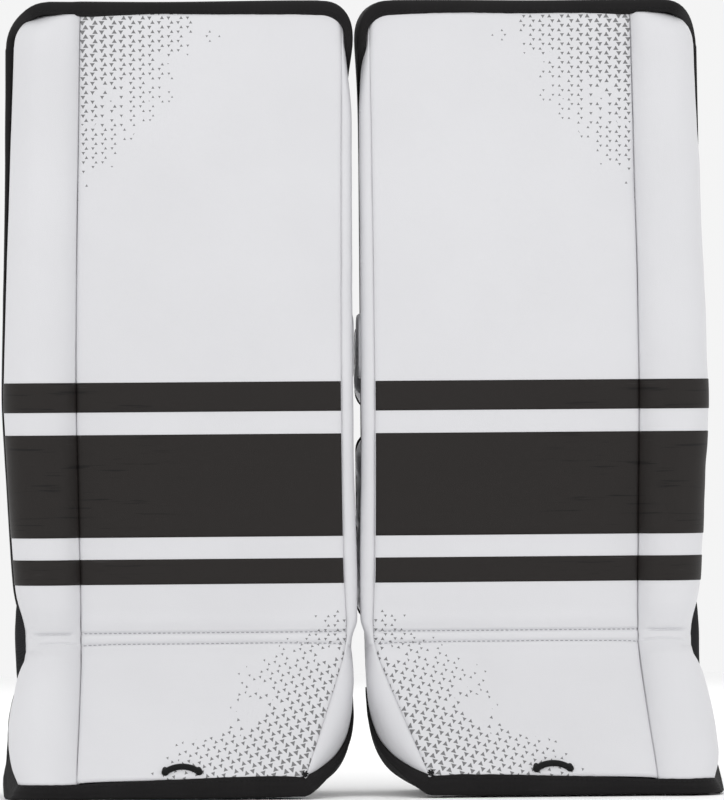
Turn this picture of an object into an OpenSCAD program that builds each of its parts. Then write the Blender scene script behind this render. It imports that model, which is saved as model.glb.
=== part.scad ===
// A pair of ice hockey goalie leg pads, standing side by side with their faces to the front.
// Frame: +Z up, the faces look along -Y, X = 0 is halfway between the two pads, Z = 0 is the floor.
// Everything is drawn once, as the pad on the +X side: x grows from the inner edge to the outer
// edge of that pad. The pad on the -X side is its mirror image. Millimetres.

/* [Pair] */
// Gap between the inner edges of the two pads
pad_gap = 5; // [4:1:10]
// Height of a pad from the floor to its top edge
pad_height = 615; // [605:1:625]

/* [Face] */
// Inner seam of the face, from the middle of the pair
inner_seam = 12; // [11:0.5:13]
// Outer seam of the face, where the roll begins
outer_seam = 218; // [217:0.5:219]
// Front plane of the shin face
face_y = -32; // [-33:0.5:-31]
// Thickness of the synthetic leather cover with its backing
cover_t = 4; // [3:0.5:4.5]
// Height of the black trim over the top edge
top_trim = 11; // [10:1:12]

/* [Outer roll] */
// Half width of the roll
roll_rx = 26.5; // [26:0.5:27]
// How far the roll's crown stands in front of its middle line
roll_ry = 26; // [24:1:28]

/* [Boot] */
// Height of the hinge line of the boot break
break_z = 122.5; // [121:0.5:124]
// Slant of the boot face from the vertical
boot_angle = 36; // [35.5:0.25:36.5]
// Height of the lower edge of the boot face
toe_z = 15; // [14:1:16]

/* [Leg channel] */
// Depth of the knee block behind the back panel
knee_block_depth = 56; // [50:1:60]
// Depth of the inner calf bolster
bolster_depth = 52; // [46:1:56]
// Thickness of a padded wing
wing_t = 18; // [14:1:18]
// Inward slant of the outer wings
wing_angle = 11; // [8:1:14]

/* [Straps] */
// Strap thickness
strap_t = 3; // [2:0.5:3]
// Width of the knee strap
knee_strap_w = 38; // [30:1:45]
// Width of the calf strap
calf_strap_w = 50; // [40:1:60]
// Width of the boot strap webbing
boot_strap_w = 25; // [20:1:26]

/* [Hidden] */
$fn = 48;
air = 0.3;                          // clearance between sewn neighbours
big = 400;                          // longer than anything that is cut with it
inner_edge = pad_gap / 2;           // inner edge of the binding
binding_w = 3.5;                    // width of the binding at the sides
white_in = inner_edge + binding_w + air;
white_top = pad_height - top_trim;  // top of the white face
back_y = 22;                        // rear surface of the back panel
panel_t = 3.7;                      // thickness of the back panel
seam_top = break_z + 4.5;           // upper stitch line of the boot break
seam_bottom = break_z - 4.5;        // lower stitch line
gusset_back = 8;                    // where the inner gusset meets the binding
core_back = 15.2;
board_t = 2.5;                      // stiffener board
sole_t = 5;                         // thickness of the sole band under the boot
roll_c = [outer_seam + 0.2 + roll_rx, face_y + 14];
stripes = [[164, 184], [200.5, 280.5], [297.5, 321]];
stripe_t = 0.8;
floor_gap = sole_t + air;

// Boot frame: origin at the top of the boot face, y into the boot, z up along its face.
boot_len = (seam_bottom - toe_z) / cos(boot_angle);
boot_t = 43;                        // thickness of the boot, cover included
toe_y = face_y - boot_len * sin(boot_angle);
boot_seam_in = 49;                  // inner face seam at the toe
boot_seam_out = 221;                // outer face seam at the toe
toe_lead = 4;                       // how far the roll stands in front of the toe edge

// Leg channel
pad_back = back_y + air;
wing_r = wing_t / 2;
wing_hinge = [250, pad_back + wing_r];
wing_depth = 70;
knee_block_z = [297, 372];
knee_z = [292, 398];
calf_z = [134, 284];
patch_t = 2;
knee_strap_z = 330;
calf_strap_z = 208;
strap_gap = 0.8;                    // clearance between a strap and the edge it wraps

// Boot strap and its side release buckle
strap_low = 32;
wing_end = 76;                      // rear edge of the boot wings
buckle_y = wing_end + air;
buckle_t = 11;
buckle_x = [46, 84];
lock_x = [240, 262];
clip_gap = 0.6;                     // gap between the two halves of the buckle
clip_len = 22;                      // length of the clip's frame outside the other half

// Toe lace and toe bridge: (y, z) of the two ends of a run through the boot
lace_d = 5;
lace_x = [130, 156];
lace_rise = 5;                      // height of the arch on the face
lace_off = -lace_d / 2 - 0.2;       // middle of the arch in front of the face
lace_foot = 6 - boot_len;           // height of the arch's ends along the boot face
lace_front = [face_y + lace_off * cos(boot_angle) + lace_foot * sin(boot_angle),
    seam_bottom - lace_off * sin(boot_angle) + lace_foot * cos(boot_angle)];
lace_back = [-27, 43];
lace_slope = atan2(lace_back[1] - lace_front[1], lace_back[0] - lace_front[0]);
lace_run = norm(lace_back - lace_front);

// The whole object is centred front to back on the origin.
strap_back = wing_hinge[1] + wing_depth * cos(wing_angle) + wing_r + strap_gap + strap_t;
y_shift = -(toe_y - toe_lead + strap_back) / 2;

SIDES = ["left", "right"];
PIECES = [
    "shin_core", "shin_stiffener", "face_cover", "inner_gusset", "outer_roll", "edge_binding",
    "stripe_panels", "break_seam", "back_panel", "knee_block", "knee_cradle", "shin_cradle",
    "calf_bolster", "thigh_pad", "landing_patches", "knee_wing", "calf_wing", "knee_strap",
    "calf_strap", "boot_core", "boot_cover", "boot_roll", "boot_gusset", "toe_rim",
    "boot_wings", "boot_buckle", "toe_lace", "boot_strap", "boot_clip", "toe_bridge"
];

// ---- shapes that repeat ----

function arc(c, rx, ry, from, to, n) =
    [for (i = [0:n]) let (a = from + (to - from) * i / n) [c[0] + rx * cos(a), c[1] + ry * sin(a)]];

function reversed(p) = [for (i = [len(p) - 1:-1:0]) p[i]];

function heading(p, i) =
    let (a = p[max(i - 1, 0)], b = p[min(i + 1, len(p) - 1)]) (b - a) / norm(b - a);

// A strip of the given thickness along the middle line p
function ribbon(p, t) = concat(
    [for (i = [0:len(p) - 1]) let (h = heading(p, i)) p[i] + [-h[1], h[0]] * t / 2],
    reversed([for (i = [0:len(p) - 1]) let (h = heading(p, i)) p[i] - [-h[1], h[0]] * t / 2]));

function rounded(x0, x1, y0, y1, r) = concat(
    arc([x1 - r, y0 + r], r, r, -90, 0, 6), arc([x1 - r, y1 - r], r, r, 0, 90, 6),
    arc([x0 + r, y1 - r], r, r, 90, 180, 6), arc([x0 + r, y0 + r], r, r, 180, 270, 6));

// Points are (x, y), drawn from z0 to z1
module plan_prism(points, z0, z1)
    translate([0, 0, z0]) linear_extrude(z1 - z0) polygon(points);

// Points are (x, z), drawn from y0 to y1
module front_prism(points, y0, y1)
    translate([0, y1, 0]) rotate([90, 0, 0]) linear_extrude(y1 - y0) polygon(points);

// Points are (y, z), drawn from x0 to x1
module side_prism(points, x0, x1)
    translate([x0, 0, 0]) rotate([90, 0, 90]) linear_extrude(x1 - x0) polygon(points);

module in_boot()
    translate([0, face_y, seam_bottom]) rotate([-boot_angle, 0, 0]) children();

// ---- outlines ----

// The shin as seen from the front, grown by g at its sides and ending at the height top
function shin_outline(g, top, bottom) = concat(
    [[256 + g, bottom], [262 + g, seam_top + 18], [266 + g, 165], [269 + g, 250],
     [271 + g, 322], [270 + g, 400], [267 + g, 480]],
    arc([264 + g - 24, top - 24], 24, 24, 0, 90, 8),
    arc([white_in - g + 20, top - 20], 20, 20, 90, 180, 8),
    [[white_in - g, bottom]]);

// Front of the roll, from the seam over the crown to the outer side, grown by g
function roll_front_curve(g) = arc(roll_c, roll_rx + g, roll_ry + g, 180, 360, 16);

function roll_section(back) = concat(roll_front_curve(0),
    [[roll_c[0] + roll_rx - 2, back], [roll_c[0] - roll_rx, back]]);

module shin_silhouette(g, top) front_prism(shin_outline(g, top, seam_top), -60, 40);

// ---- shin ----

module shin_core() color("gainsboro")
    intersection() {
        shin_silhouette(-3, white_top - 3);
        plan_prism([[inner_seam + cover_t + 0.6, face_y + cover_t + air],
            [outer_seam - air, face_y + cover_t + air], [outer_seam - air, core_back],
            [white_in + cover_t + 0.4, core_back], [white_in + cover_t + 0.4, gusset_back]],
            seam_top, pad_height);
    }

module shin_stiffener() color("dimgray")
    intersection() {
        shin_silhouette(-5, white_top - 5);
        translate([0, core_back + air, 0]) cube([big, board_t, pad_height]);
    }

module face_cover() color("white")
    intersection() {
        shin_silhouette(0, white_top);
        translate([inner_seam, face_y, seam_top])
            cube([outer_seam - inner_seam - air, cover_t, pad_height]);
    }

module inner_gusset() color("white")
    intersection() {
        shin_silhouette(0, white_top);
        plan_prism([[inner_seam - air, face_y + 0.5], [inner_seam - air, face_y + cover_t + air],
            [inner_seam + cover_t, face_y + cover_t + air], [white_in + cover_t, gusset_back],
            [white_in + cover_t, 17.5], [white_in, 17.5], [white_in + 0.5, gusset_back]],
            seam_top, pad_height);
    }

module outer_roll() color("white")
    intersection() {
        shin_silhouette(0, white_top);
        plan_prism(roll_section(core_back), seam_top + 1.5, pad_height);
    }

module edge_binding() color("black")
    difference() {
        front_prism(shin_outline(binding_w + air, pad_height, seam_top), face_y + 5, back_y);
        shin_silhouette(air, white_top + air);
        translate([0, face_y, 0]) cube([big, gusset_back - face_y, white_top - 26]);
    }

module stripe_panels() color("black")
    for (s = stripes) {
        translate([inner_seam + air, face_y - stripe_t, s[0]])
            cube([outer_seam - inner_seam - 2 * air, stripe_t - 0.05, s[1] - s[0]]);
        plan_prism(concat(arc(roll_c, roll_rx + stripe_t, roll_ry + stripe_t, 215, 335, 12),
            reversed(arc(roll_c, roll_rx + 0.1, roll_ry + 0.1, 215, 335, 12))), s[0], s[1]);
    }

// The strip between the two stitch lines, along which the boot folds
module break_seam() color("white")
    translate([white_in, face_y + 1, seam_bottom + air])
        cube([outer_seam + 30 - white_in, 2.5, seam_top - seam_bottom - 2 * air]);

module back_panel() color("black")
    intersection() {
        shin_silhouette(0, white_top);
        translate([0, back_y - panel_t, seam_top]) cube([big, panel_t, pad_height]);
    }

// ---- leg channel ----

module knee_block() color("white")
    front_prism(rounded(inner_edge, 92, knee_block_z[0], knee_block_z[1], 14),
        pad_back, pad_back + knee_block_depth);

module knee_cradle() color("dimgray")
    front_prism(rounded(94, 236, 280, 386, 16), pad_back, pad_back + 20);

module shin_cradle() color("dimgray")
    front_prism(rounded(60, 236, 132, 276, 14), pad_back, pad_back + 18);

module calf_bolster() color("white")
    front_prism(rounded(inner_edge + 2, 58, 132, 281, 12), pad_back, pad_back + bolster_depth);

module thigh_pad() color("dimgray")
    front_prism(rounded(34, 238, 404, 586, 20), pad_back, pad_back + 12);

// Loop fabric on the knee block and on the calf bolster, where the straps press on
module landing_patches() color("black") {
    front_prism(rounded(18, 88, knee_strap_z - 26, knee_strap_z + 26, 5),
        pad_back + knee_block_depth + 0.1, pad_back + knee_block_depth + patch_t);
    front_prism(rounded(10, 54, calf_strap_z - 32, calf_strap_z + 32, 5),
        pad_back + bolster_depth + 0.1, pad_back + bolster_depth + patch_t);
}

// A padded flap whose round front edge turns against the back panel
module wing(zs, corner)
    translate([wing_hinge[0], wing_hinge[1], 0]) rotate([0, 0, wing_angle]) intersection() {
        plan_prism(concat(arc([0, wing_depth], wing_r, wing_r, 0, 180, 12),
            arc([0, 0], wing_r, wing_r, 180, 360, 12)), zs[0], zs[1]);
        side_prism(rounded(-wing_r, wing_depth + wing_r, zs[0], zs[1], corner), -big, big);
    }

module knee_wing() color("white") wing(knee_z, 16);

module calf_wing() color("white") wing(calf_z, 18);

// A strap that turns on the rear edge of a wing and runs across the channel to its landing patch
module strap(z, width, patch_y, ends) {
    pivot = wing_hinge + wing_depth * [-sin(wing_angle), cos(wing_angle)];
    r = wing_r + strap_gap + strap_t / 2;
    landing = [ends[1], patch_y + air + strap_t / 2];
    reach = landing - pivot;
    leave = atan2(reach[1], reach[0]) + 360 - acos(r / norm(reach));
    plan_prism(ribbon(concat(arc(pivot, r, r, 88, leave, 4),
        [landing, [ends[0], landing[1]]]), strap_t), z - width / 2, z + width / 2);
}

module knee_strap() color("black")
    strap(knee_strap_z, knee_strap_w, pad_back + knee_block_depth + patch_t, [24, 86]);

module calf_strap() color("black")
    strap(calf_strap_z, calf_strap_w, pad_back + bolster_depth + patch_t, [14, 52]);

// ---- boot ----

// The two holes of the toe lace, from the face to the back of the boot
module lace_holes(r)
    for (x = lace_x)
        translate([x, lace_front[0] - 10, lace_front[1] - 10 * tan(lace_slope)])
            rotate([lace_slope - 90, 0, 0]) cylinder(r = r, h = lace_run + 20);

module boot_core() color("gainsboro")
    difference() {
        in_boot() front_prism([[inner_seam + 4, -1], [outer_seam - 2, -1],
            [boot_seam_out - 2, 2 - boot_len], [boot_seam_in + 4, 2 - boot_len]],
            cover_t + air, boot_t - 3);
        lace_holes(lace_d / 2 + 0.3);
        below_boot();
    }

// What the sole band takes away from the boot
module below_boot() translate([0, -big, floor_gap - big]) cube([big, 2 * big, big]);

module boot_cover() color("white")
    difference() {
        in_boot() front_prism([[inner_seam, 0], [outer_seam - air, 0],
            [boot_seam_out - air, -boot_len], [boot_seam_in, -boot_len]], 0, cover_t);
        lace_holes(lace_d / 2 + 0.3);
    }

module boot_roll() color("white")
    intersection() {
        in_boot() plan_prism([for (p = roll_section(gusset_back)) p - [0, face_y]],
            -boot_len - 30, 30);
        front_prism([[outer_seam + 0.5, seam_bottom - 1.5], [255, seam_bottom - 1.5], [259, 104],
            [262, 84], [264, 50], [266, toe_z + air], [boot_seam_out, toe_z + air]], -200, 60);
        side_prism([[toe_y - toe_lead, 0], [toe_y - toe_lead, toe_z + 1], [face_y - 14, seam_bottom],
            [60, seam_bottom], [60, 0]], 0, big);
    }

module boot_gusset() color("white")
    difference() {
        in_boot() front_prism([[inner_seam - air, 0], [boot_seam_in - air, -boot_len],
            [28, 12 - boot_len], [14, 26 - boot_len], [8.5, -75], [white_in + 0.5, -40],
            [white_in, 0]], 3, boot_t - 5);
        below_boot();
    }

// Black binding and sole band round the lower edge of the boot
module toe_rim() color("black") {
    intersection() {
        side_prism([[toe_y - 0.3, toe_z - air], [toe_y - 2.5, 9], [toe_y + 1, 2.5],
            [toe_y + 6, 0], [toe_y + 42, 0], [toe_y + 46, sole_t], [toe_y + 8, sole_t],
            [toe_y + 3.4, 11.6]], 0, 300);
        front_prism([[50, 4], [58, 0], [258, 0], [266, 4], [270, toe_z - air],
            [26, toe_z - air]], -200, 60);
    }
    difference() {
        in_boot() front_prism([[inner_edge, 0], [white_in - air, 0], [white_in + 0.2, -40],
            [8.2, -75], [13.6, 25.6 - boot_len], [27, 11.6 - boot_len], [42, 1 - boot_len],
            [24, 1 - boot_len], [9, 20 - boot_len], [4.5, -75]], boot_t - 14, boot_t - 5);
        below_boot();
    }
}

// Padded side flaps behind the boot, which also carry the pad when it stands
module boot_wings() color("black")
    for (x = [50, 250])
        side_prism([[-62, 0], [wing_end - 8, 0], [wing_end - 2, 3], [wing_end, 9],
            [wing_end, 66], [wing_end - 5, 80], [wing_end - 18, 96], [42, 107], [28, 111],
            [19, 110]], x, x + 12);

// ---- toe lace and toe bridge ----

// One lace: an arch on the face, two runs through the boot and a short bar behind it
module toe_lace() color("black") {
    half = (lace_x[1] - lace_x[0]) / 2;
    arch_r = (half * half + lace_rise * lace_rise) / (2 * lace_rise);
    arch_angle = 2 * asin(half / arch_r);
    in_boot() translate([lace_x[0] + half, lace_off, lace_foot + lace_rise - arch_r])
        rotate([90, 0, 0]) rotate([0, 0, 90 - arch_angle / 2])
            rotate_extrude(angle = arch_angle) translate([arch_r, 0]) circle(d = lace_d);
    for (x = lace_x)
        translate([x, lace_front[0], lace_front[1]]) rotate([lace_slope - 90, 0, 0])
            cylinder(d = lace_d, h = lace_run);
    for (x = lace_x, end = [lace_front, lace_back])
        translate([x, end[0], end[1]]) sphere(d = lace_d + 0.4);
    translate([lace_x[0], lace_back[0], lace_back[1]]) rotate([0, 90, 0])
        cylinder(d = lace_d, h = 2 * half);
}

module toe_bridge() color("dimgray") {
    width = 20;
    x0 = (lace_x[0] + lace_x[1] - width) / 2;
    difference() {
        translate([x0, lace_back[0], lace_back[1]]) union() {
            rotate([0, 90, 0]) cylinder(r = lace_d / 2 + 2.3, h = width);
            translate([0, -1.5, -33]) cube([width, 3, 33]);
        }
        translate([x0 - 1, lace_back[0], lace_back[1]]) rotate([0, 90, 0])
            cylinder(r = lace_d / 2 + 0.3, h = width + 2);
        translate([x0 + width / 2, lace_back[0] - 5, lace_back[1] - 23]) rotate([-90, 0, 0])
            cylinder(r = 4, h = 10);
    }
}

// ---- boot strap ----

// Female half of the side release buckle on the inner wing, and the ladder lock on the outer one
module boot_buckle() color("black") {
    z0 = strap_low - 4;
    h = boot_strap_w + 8;
    difference() {
        translate([buckle_x[0], buckle_y, z0]) cube([buckle_x[1] - buckle_x[0], buckle_t, h]);
        translate([buckle_x[0] + 12, buckle_y + 2.5, z0 + 3]) cube([big, buckle_t - 5, h - 6]);
        for (z = [z0 - 1, z0 + h - 4])
            translate([buckle_x[0] + 16, buckle_y + 2.5, z]) cube([12, buckle_t - 5, 5]);
    }
    difference() {
        translate([lock_x[0], buckle_y, z0]) cube([lock_x[1] - lock_x[0], buckle_t, h]);
        translate([0, buckle_y + 3.5, strap_low - 0.6]) cube([big, 4, boot_strap_w + 1.2]);
        translate([lock_x[0] + 5, buckle_y + 7, strap_low - 0.6])
            cube([lock_x[1] - lock_x[0] - 10, buckle_t, boot_strap_w + 1.2]);
    }
}

// Male half: a bar for the webbing, a middle guide and two springing prongs
module boot_clip() color("black") {
    x0 = buckle_x[1] + clip_gap;
    z0 = strap_low - 1;
    h = boot_strap_w + 2;
    y0 = buckle_y + 3;
    difference() {
        translate([x0, y0, z0 - 3]) cube([clip_len, 5, h + 6]);
        translate([x0 + 8, y0 - 1, strap_low - 0.5]) cube([9, 7, boot_strap_w + 1]);
    }
    translate([x0 - 20, y0 + 0.5, z0 + h / 2 - 3]) cube([20, 4, 6]);
    for (z = [z0 + 0.6, z0 + h - 5.6]) translate([x0 - 22, y0 + 0.5, z]) cube([22, 4, 5]);
}

// Webbing from the bar of the clip to its free end beyond the ladder lock
module boot_strap() color("black") {
    start = buckle_x[1] + clip_gap + clip_len + air;
    translate([start, buckle_y + 4.25, strap_low]) cube([272 - start, 2.5, boot_strap_w]);
}

// ---- the two pads ----

module placed(side)
    translate([0, y_shift, 0]) mirror([side == "left" ? 1 : 0, 0, 0]) children();

module piece(name) {
    if (name == "shin_core") shin_core();
    if (name == "shin_stiffener") shin_stiffener();
    if (name == "face_cover") face_cover();
    if (name == "inner_gusset") inner_gusset();
    if (name == "outer_roll") outer_roll();
    if (name == "edge_binding") edge_binding();
    if (name == "stripe_panels") stripe_panels();
    if (name == "break_seam") break_seam();
    if (name == "back_panel") back_panel();
    if (name == "knee_block") knee_block();
    if (name == "knee_cradle") knee_cradle();
    if (name == "shin_cradle") shin_cradle();
    if (name == "calf_bolster") calf_bolster();
    if (name == "thigh_pad") thigh_pad();
    if (name == "landing_patches") landing_patches();
    if (name == "knee_wing") knee_wing();
    if (name == "calf_wing") calf_wing();
    if (name == "knee_strap") knee_strap();
    if (name == "calf_strap") calf_strap();
    if (name == "boot_core") boot_core();
    if (name == "boot_cover") boot_cover();
    if (name == "boot_roll") boot_roll();
    if (name == "boot_gusset") boot_gusset();
    if (name == "toe_rim") toe_rim();
    if (name == "boot_wings") boot_wings();
    if (name == "boot_buckle") boot_buckle();
    if (name == "toe_lace") toe_lace();
    if (name == "boot_strap") boot_strap();
    if (name == "boot_clip") boot_clip();
    if (name == "toe_bridge") toe_bridge();
}

for (side = SIDES)
    for (name = PIECES)
        placed(side) piece(name);
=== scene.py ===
"""Looks of a pair of ice hockey goalie leg pads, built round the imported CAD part.

Points are (x, y, z) in millimetres in the design frame of one pad: x grows from its inner edge to
its outer edge, the face looks along -Y and z is the height above the floor. Both pads are made by
the same functions; the left one is mirrored and gets waves of its own from another seed.
"""
import math

import bmesh
import bpy
from mathutils import Matrix, Vector, noise


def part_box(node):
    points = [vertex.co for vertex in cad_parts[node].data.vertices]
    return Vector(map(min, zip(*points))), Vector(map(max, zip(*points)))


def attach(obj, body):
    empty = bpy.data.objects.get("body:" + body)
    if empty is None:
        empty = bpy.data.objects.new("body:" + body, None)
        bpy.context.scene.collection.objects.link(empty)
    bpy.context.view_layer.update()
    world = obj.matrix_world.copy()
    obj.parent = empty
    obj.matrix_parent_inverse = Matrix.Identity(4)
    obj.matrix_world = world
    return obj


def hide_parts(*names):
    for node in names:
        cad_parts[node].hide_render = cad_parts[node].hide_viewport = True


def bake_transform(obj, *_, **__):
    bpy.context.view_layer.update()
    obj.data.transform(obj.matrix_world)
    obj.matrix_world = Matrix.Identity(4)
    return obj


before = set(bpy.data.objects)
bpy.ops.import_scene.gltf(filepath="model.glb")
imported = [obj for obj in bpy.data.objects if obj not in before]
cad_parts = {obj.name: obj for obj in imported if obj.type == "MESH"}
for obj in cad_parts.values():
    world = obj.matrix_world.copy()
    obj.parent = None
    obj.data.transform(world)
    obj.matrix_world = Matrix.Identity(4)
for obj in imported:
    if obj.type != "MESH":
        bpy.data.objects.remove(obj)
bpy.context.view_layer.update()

MM = 0.001
FACE_Y = -32.0
SHIFT_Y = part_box("right_face_cover")[0].y / MM - FACE_Y

# Spine of the pad's front: s runs down along the face, 0 at the boot break
BREAK_Z = 118.0
BOOT_ANGLE = math.radians(36.0)
TURN = 10.0
TOP_Z = 606.0              # upper edge of the white front, under the binding
TOP_S = BREAK_Z - TOP_Z
BOOT_LEN = 127.3
STITCH_ROWS = (-8.6, 0.6)
WALL = 40.0                # depth of the side walls behind the face
ROLL_BASE = 14.0           # how far behind the face the roll is widest
ROLL_WALL = WALL - ROLL_BASE
TOE_Z = 15.0
CORNER_OUT = 24.0
CORNER_OUT_X = 240.0       # middle of the outer top corner
CORNER_IN = 20.0
INNER_WALL = 6.3
STRIPES = ((164.0, 184.0), (200.5, 280.5), (297.5, 321.0))

# Leg channel
PAD_BACK = 22.3
KNEE_DEPTH = 56.0
BOLSTER_DEPTH = 52.0
PATCH = 2.0
WING_HINGE = (250.0, 31.3)
WING_ANGLE = math.radians(11.0)
WING_DEPTH = 70.0
WING_R = 9.0
KNEE_WING_Z = (292.0, 398.0)
CALF_WING_Z = (134.0, 284.0)
KNEE_STRAP = (330.0, 38.0)
CALF_STRAP = (208.0, 50.0)

# Boot strap and toe lace
BUCKLE_Y = 76.3
BOOT_STRAP_Z = (32.0, 57.0)
LACE_X = (130.0, 156.0)
LACE_R = 2.5
LACE_BACK = (-27.0, 43.0)


class Pad:
    """One pad: its side, the sign of its x in the frame, and the seed of its waves."""

    def __init__(self, side, sign, seed):
        self.side = side
        self.sign = sign
        self.seed = seed

    def name(self, piece):
        return f"{self.side}_{piece}"

    def point(self, p):
        return Vector((self.sign * p[0] * MM, (p[1] + SHIFT_Y) * MM, p[2] * MM))

    def wave(self, x, y, z, size):
        return noise.noise(Vector((x / size, y / size, z / size + 7.3 * self.seed)))


# ---- numbers ----

def mix(a, b, t):
    return a + (b - a) * t


def ease(t):
    t = min(max(t, 0.0), 1.0)
    return t * t * (3 - 2 * t)


def bump(t):
    return math.exp(-t * t)


def through(points):
    """A smooth function through (value, result) points, steady beyond its ends."""
    xs = [p[0] for p in points]
    ys = [p[1] for p in points]
    last = len(xs) - 1
    slopes = []
    for i in range(last + 1):
        a, b = max(i - 1, 0), min(i + 1, last)
        slopes.append((ys[b] - ys[a]) / (xs[b] - xs[a]))

    def value(x):
        if x <= xs[0]:
            return ys[0]
        if x >= xs[last]:
            return ys[last]
        i = next(k for k in range(last) if x <= xs[k + 1])
        h = xs[i + 1] - xs[i]
        t = (x - xs[i]) / h
        return ((1 + 2 * t) * (1 - t) ** 2 * ys[i] + t * (1 - t) ** 2 * h * slopes[i]
                + t * t * (3 - 2 * t) * ys[i + 1] - t * t * (1 - t) * h * slopes[i + 1])
    return value


def spread(start, end, count):
    return [mix(start, end, i / (count - 1)) for i in range(count)]


def joined(*parts):
    """Rising values of several lists, near doubles left out."""
    values = sorted(v for part in parts for v in part)
    kept = values[:1]
    for v in values:
        if v - kept[-1] > 0.2:
            kept.append(v)
    return kept


# ---- outlines along the spine ----

outer_seam = through([(-488, 213.5), (-421, 215), (-204, 218.8), (-4, 216.4), (60, 219.5),
                      (127.3, 224)])
inner_seam = through([(-488, 10.6), (-380, 12), (-200, 13), (-60, 12), (-5, 10.8), (20, 16),
                      (127.3, 49)])
outer_wall = through([(-462, 264.3), (-421, 266), (-362, 268.3), (-282, 271.5), (-204, 274),
                      (-180, 274), (-132, 271.5), (-47, 266.6), (-33, 264.6), (-17, 260.4),
                      (-6, 259), (5, 260.4), (15, 264.2), (26, 267.4), (60, 271.8), (95, 274),
                      (112, 272.6), (127, 268.6)])
roll_crown = through([(-488, 3.5), (-482, 7.2), (-474, 10.2), (-462, 11.6), (-440, 12), (-30, 12),
                      (-14, 9.5), (-5, 7.0), (5, 8.5), (18, 11.5), (60, 9.5), (127, 4.5)])


def outer_x(s):
    over = BREAK_Z - s - (TOP_Z - CORNER_OUT)
    if over <= 0:
        return outer_wall(s)
    return CORNER_OUT_X + math.sqrt(max(CORNER_OUT ** 2 - over ** 2, 0.0))


def inner_x(s):
    over = BREAK_Z - s - (TOP_Z - CORNER_IN)
    if over <= 0:
        return INNER_WALL
    return INNER_WALL + CORNER_IN - math.sqrt(max(CORNER_IN ** 2 - over ** 2, 0.0))


def spine_steps():
    steps = 80
    y, z = FACE_Y, BREAK_Z + TURN
    table = []
    for i in range(steps + 1):
        angle = BOOT_ANGLE * ease(i / steps)
        table.append((y, z, angle))
        y -= math.sin(angle) * 2 * TURN / steps
        z -= math.cos(angle) * 2 * TURN / steps
    return table


SPINE = spine_steps()


def spine(s):
    """Point (y, z) of the face and its outward normal (y, z)."""
    if s <= -TURN:
        return FACE_Y, BREAK_Z - s, -1.0, 0.0
    if s < TURN:
        at = (s + TURN) / (2 * TURN) * (len(SPINE) - 1)
        i = min(int(at), len(SPINE) - 2)
        y, z, angle = (mix(a, b, at - i) for a, b in zip(SPINE[i], SPINE[i + 1]))
        return y, z, -math.cos(angle), math.sin(angle)
    y, z, angle = SPINE[-1]
    return (y - math.sin(angle) * (s - TURN), z - math.cos(angle) * (s - TURN),
            -math.cos(angle), math.sin(angle))


def on_front(s, x, d):
    """The point at height s of the front, at x and d millimetres in front of the face."""
    y, z, ny, nz = spine(s)
    return (x, y + ny * d, z + nz * d)


def toe_top(x):
    """Height of the upper edge of the toe band."""
    return TOE_Z - 2.0 + 3.6 * ease((240 - x) / 200)


def boot_end(x, d):
    """How far down the boot a point at x and depth d goes before it meets the black band."""
    rise = 24.0 * max((-ROLL_BASE - d) / ROLL_WALL, 0.0) ** 1.5 if x > 200 else 0.0
    return (BREAK_Z + math.sin(BOOT_ANGLE) * d - toe_top(x) - rise) / math.cos(BOOT_ANGLE)


# ---- meshes ----

def link(obj):
    bpy.context.scene.collection.objects.link(obj)
    return obj


def surface(pad, piece, rows, uv=None, closed=False, caps=False):
    """Quads through rows of points. uv gives (u, v) in metres; else it runs along and across."""
    count = len(rows[0])
    across = count if closed else count - 1
    if uv is None:
        uv = lengths(rows, closed)
    verts = [pad.point(p) for row in rows for p in row]
    faces, corners = [], []
    for i in range(len(rows) - 1):
        for j in range(across):
            k = (j + 1) % count
            quad = [(i, j, j), (i + 1, j, j), (i + 1, k, j + 1), (i, k, j + 1)]
            if pad.sign < 0:
                quad.reverse()
            faces.append([a * count + b for a, b, _ in quad])
            corners.append([uv[a][c] for a, _, c in quad])
    if caps:
        for i in (0, len(rows) - 1):
            faces.append([i * count + j for j in range(count)])
            corners.append([uv[i][j] for j in range(count)])
    mesh = bpy.data.meshes.new(pad.name(piece))
    mesh.from_pydata(verts, [], faces)
    layer = mesh.uv_layers.new(name="Surface")
    flat = [c for face in corners for uv_pair in face for c in uv_pair]
    layer.data.foreach_set("uv", flat)
    obj = link(bpy.data.objects.new(pad.name(piece), mesh))
    if closed:
        fix_normals(obj)
    shade(obj)
    return obj


def lengths(rows, closed):
    """(u, v) of every point: u along the rows' middle, v across each row, in metres."""
    table, along = [], 0.0
    middle = len(rows[0]) // 2
    for i, row in enumerate(rows):
        if i:
            along += (Vector(row[middle]) - Vector(rows[i - 1][middle])).length * MM
        across = [0.0]
        ring = list(row) + ([row[0]] if closed else [])
        for a, b in zip(ring, ring[1:]):
            across.append(across[-1] + (Vector(b) - Vector(a)).length * MM)
        table.append([(along, v) for v in across])
    return table


def fix_normals(obj):
    bm = bmesh.new()
    bm.from_mesh(obj.data)
    bmesh.ops.recalc_face_normals(bm, faces=bm.faces)
    bm.to_mesh(obj.data)
    bm.free()


def shade(obj):
    obj.data.shade_smooth()
    return obj


def bake(obj):
    """Replaces the mesh by what its modifiers make of it."""
    graph = bpy.context.evaluated_depsgraph_get()
    mesh = bpy.data.meshes.new_from_object(obj.evaluated_get(graph))
    obj.modifiers.clear()
    obj.data = mesh
    return obj


def shell(obj, thickness):
    """Gives an open surface a thickness, inwards."""
    solid = obj.modifiers.new("thickness", "SOLIDIFY")
    solid.thickness = thickness * MM
    solid.offset = -1.0
    return shade(bake(obj))


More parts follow.
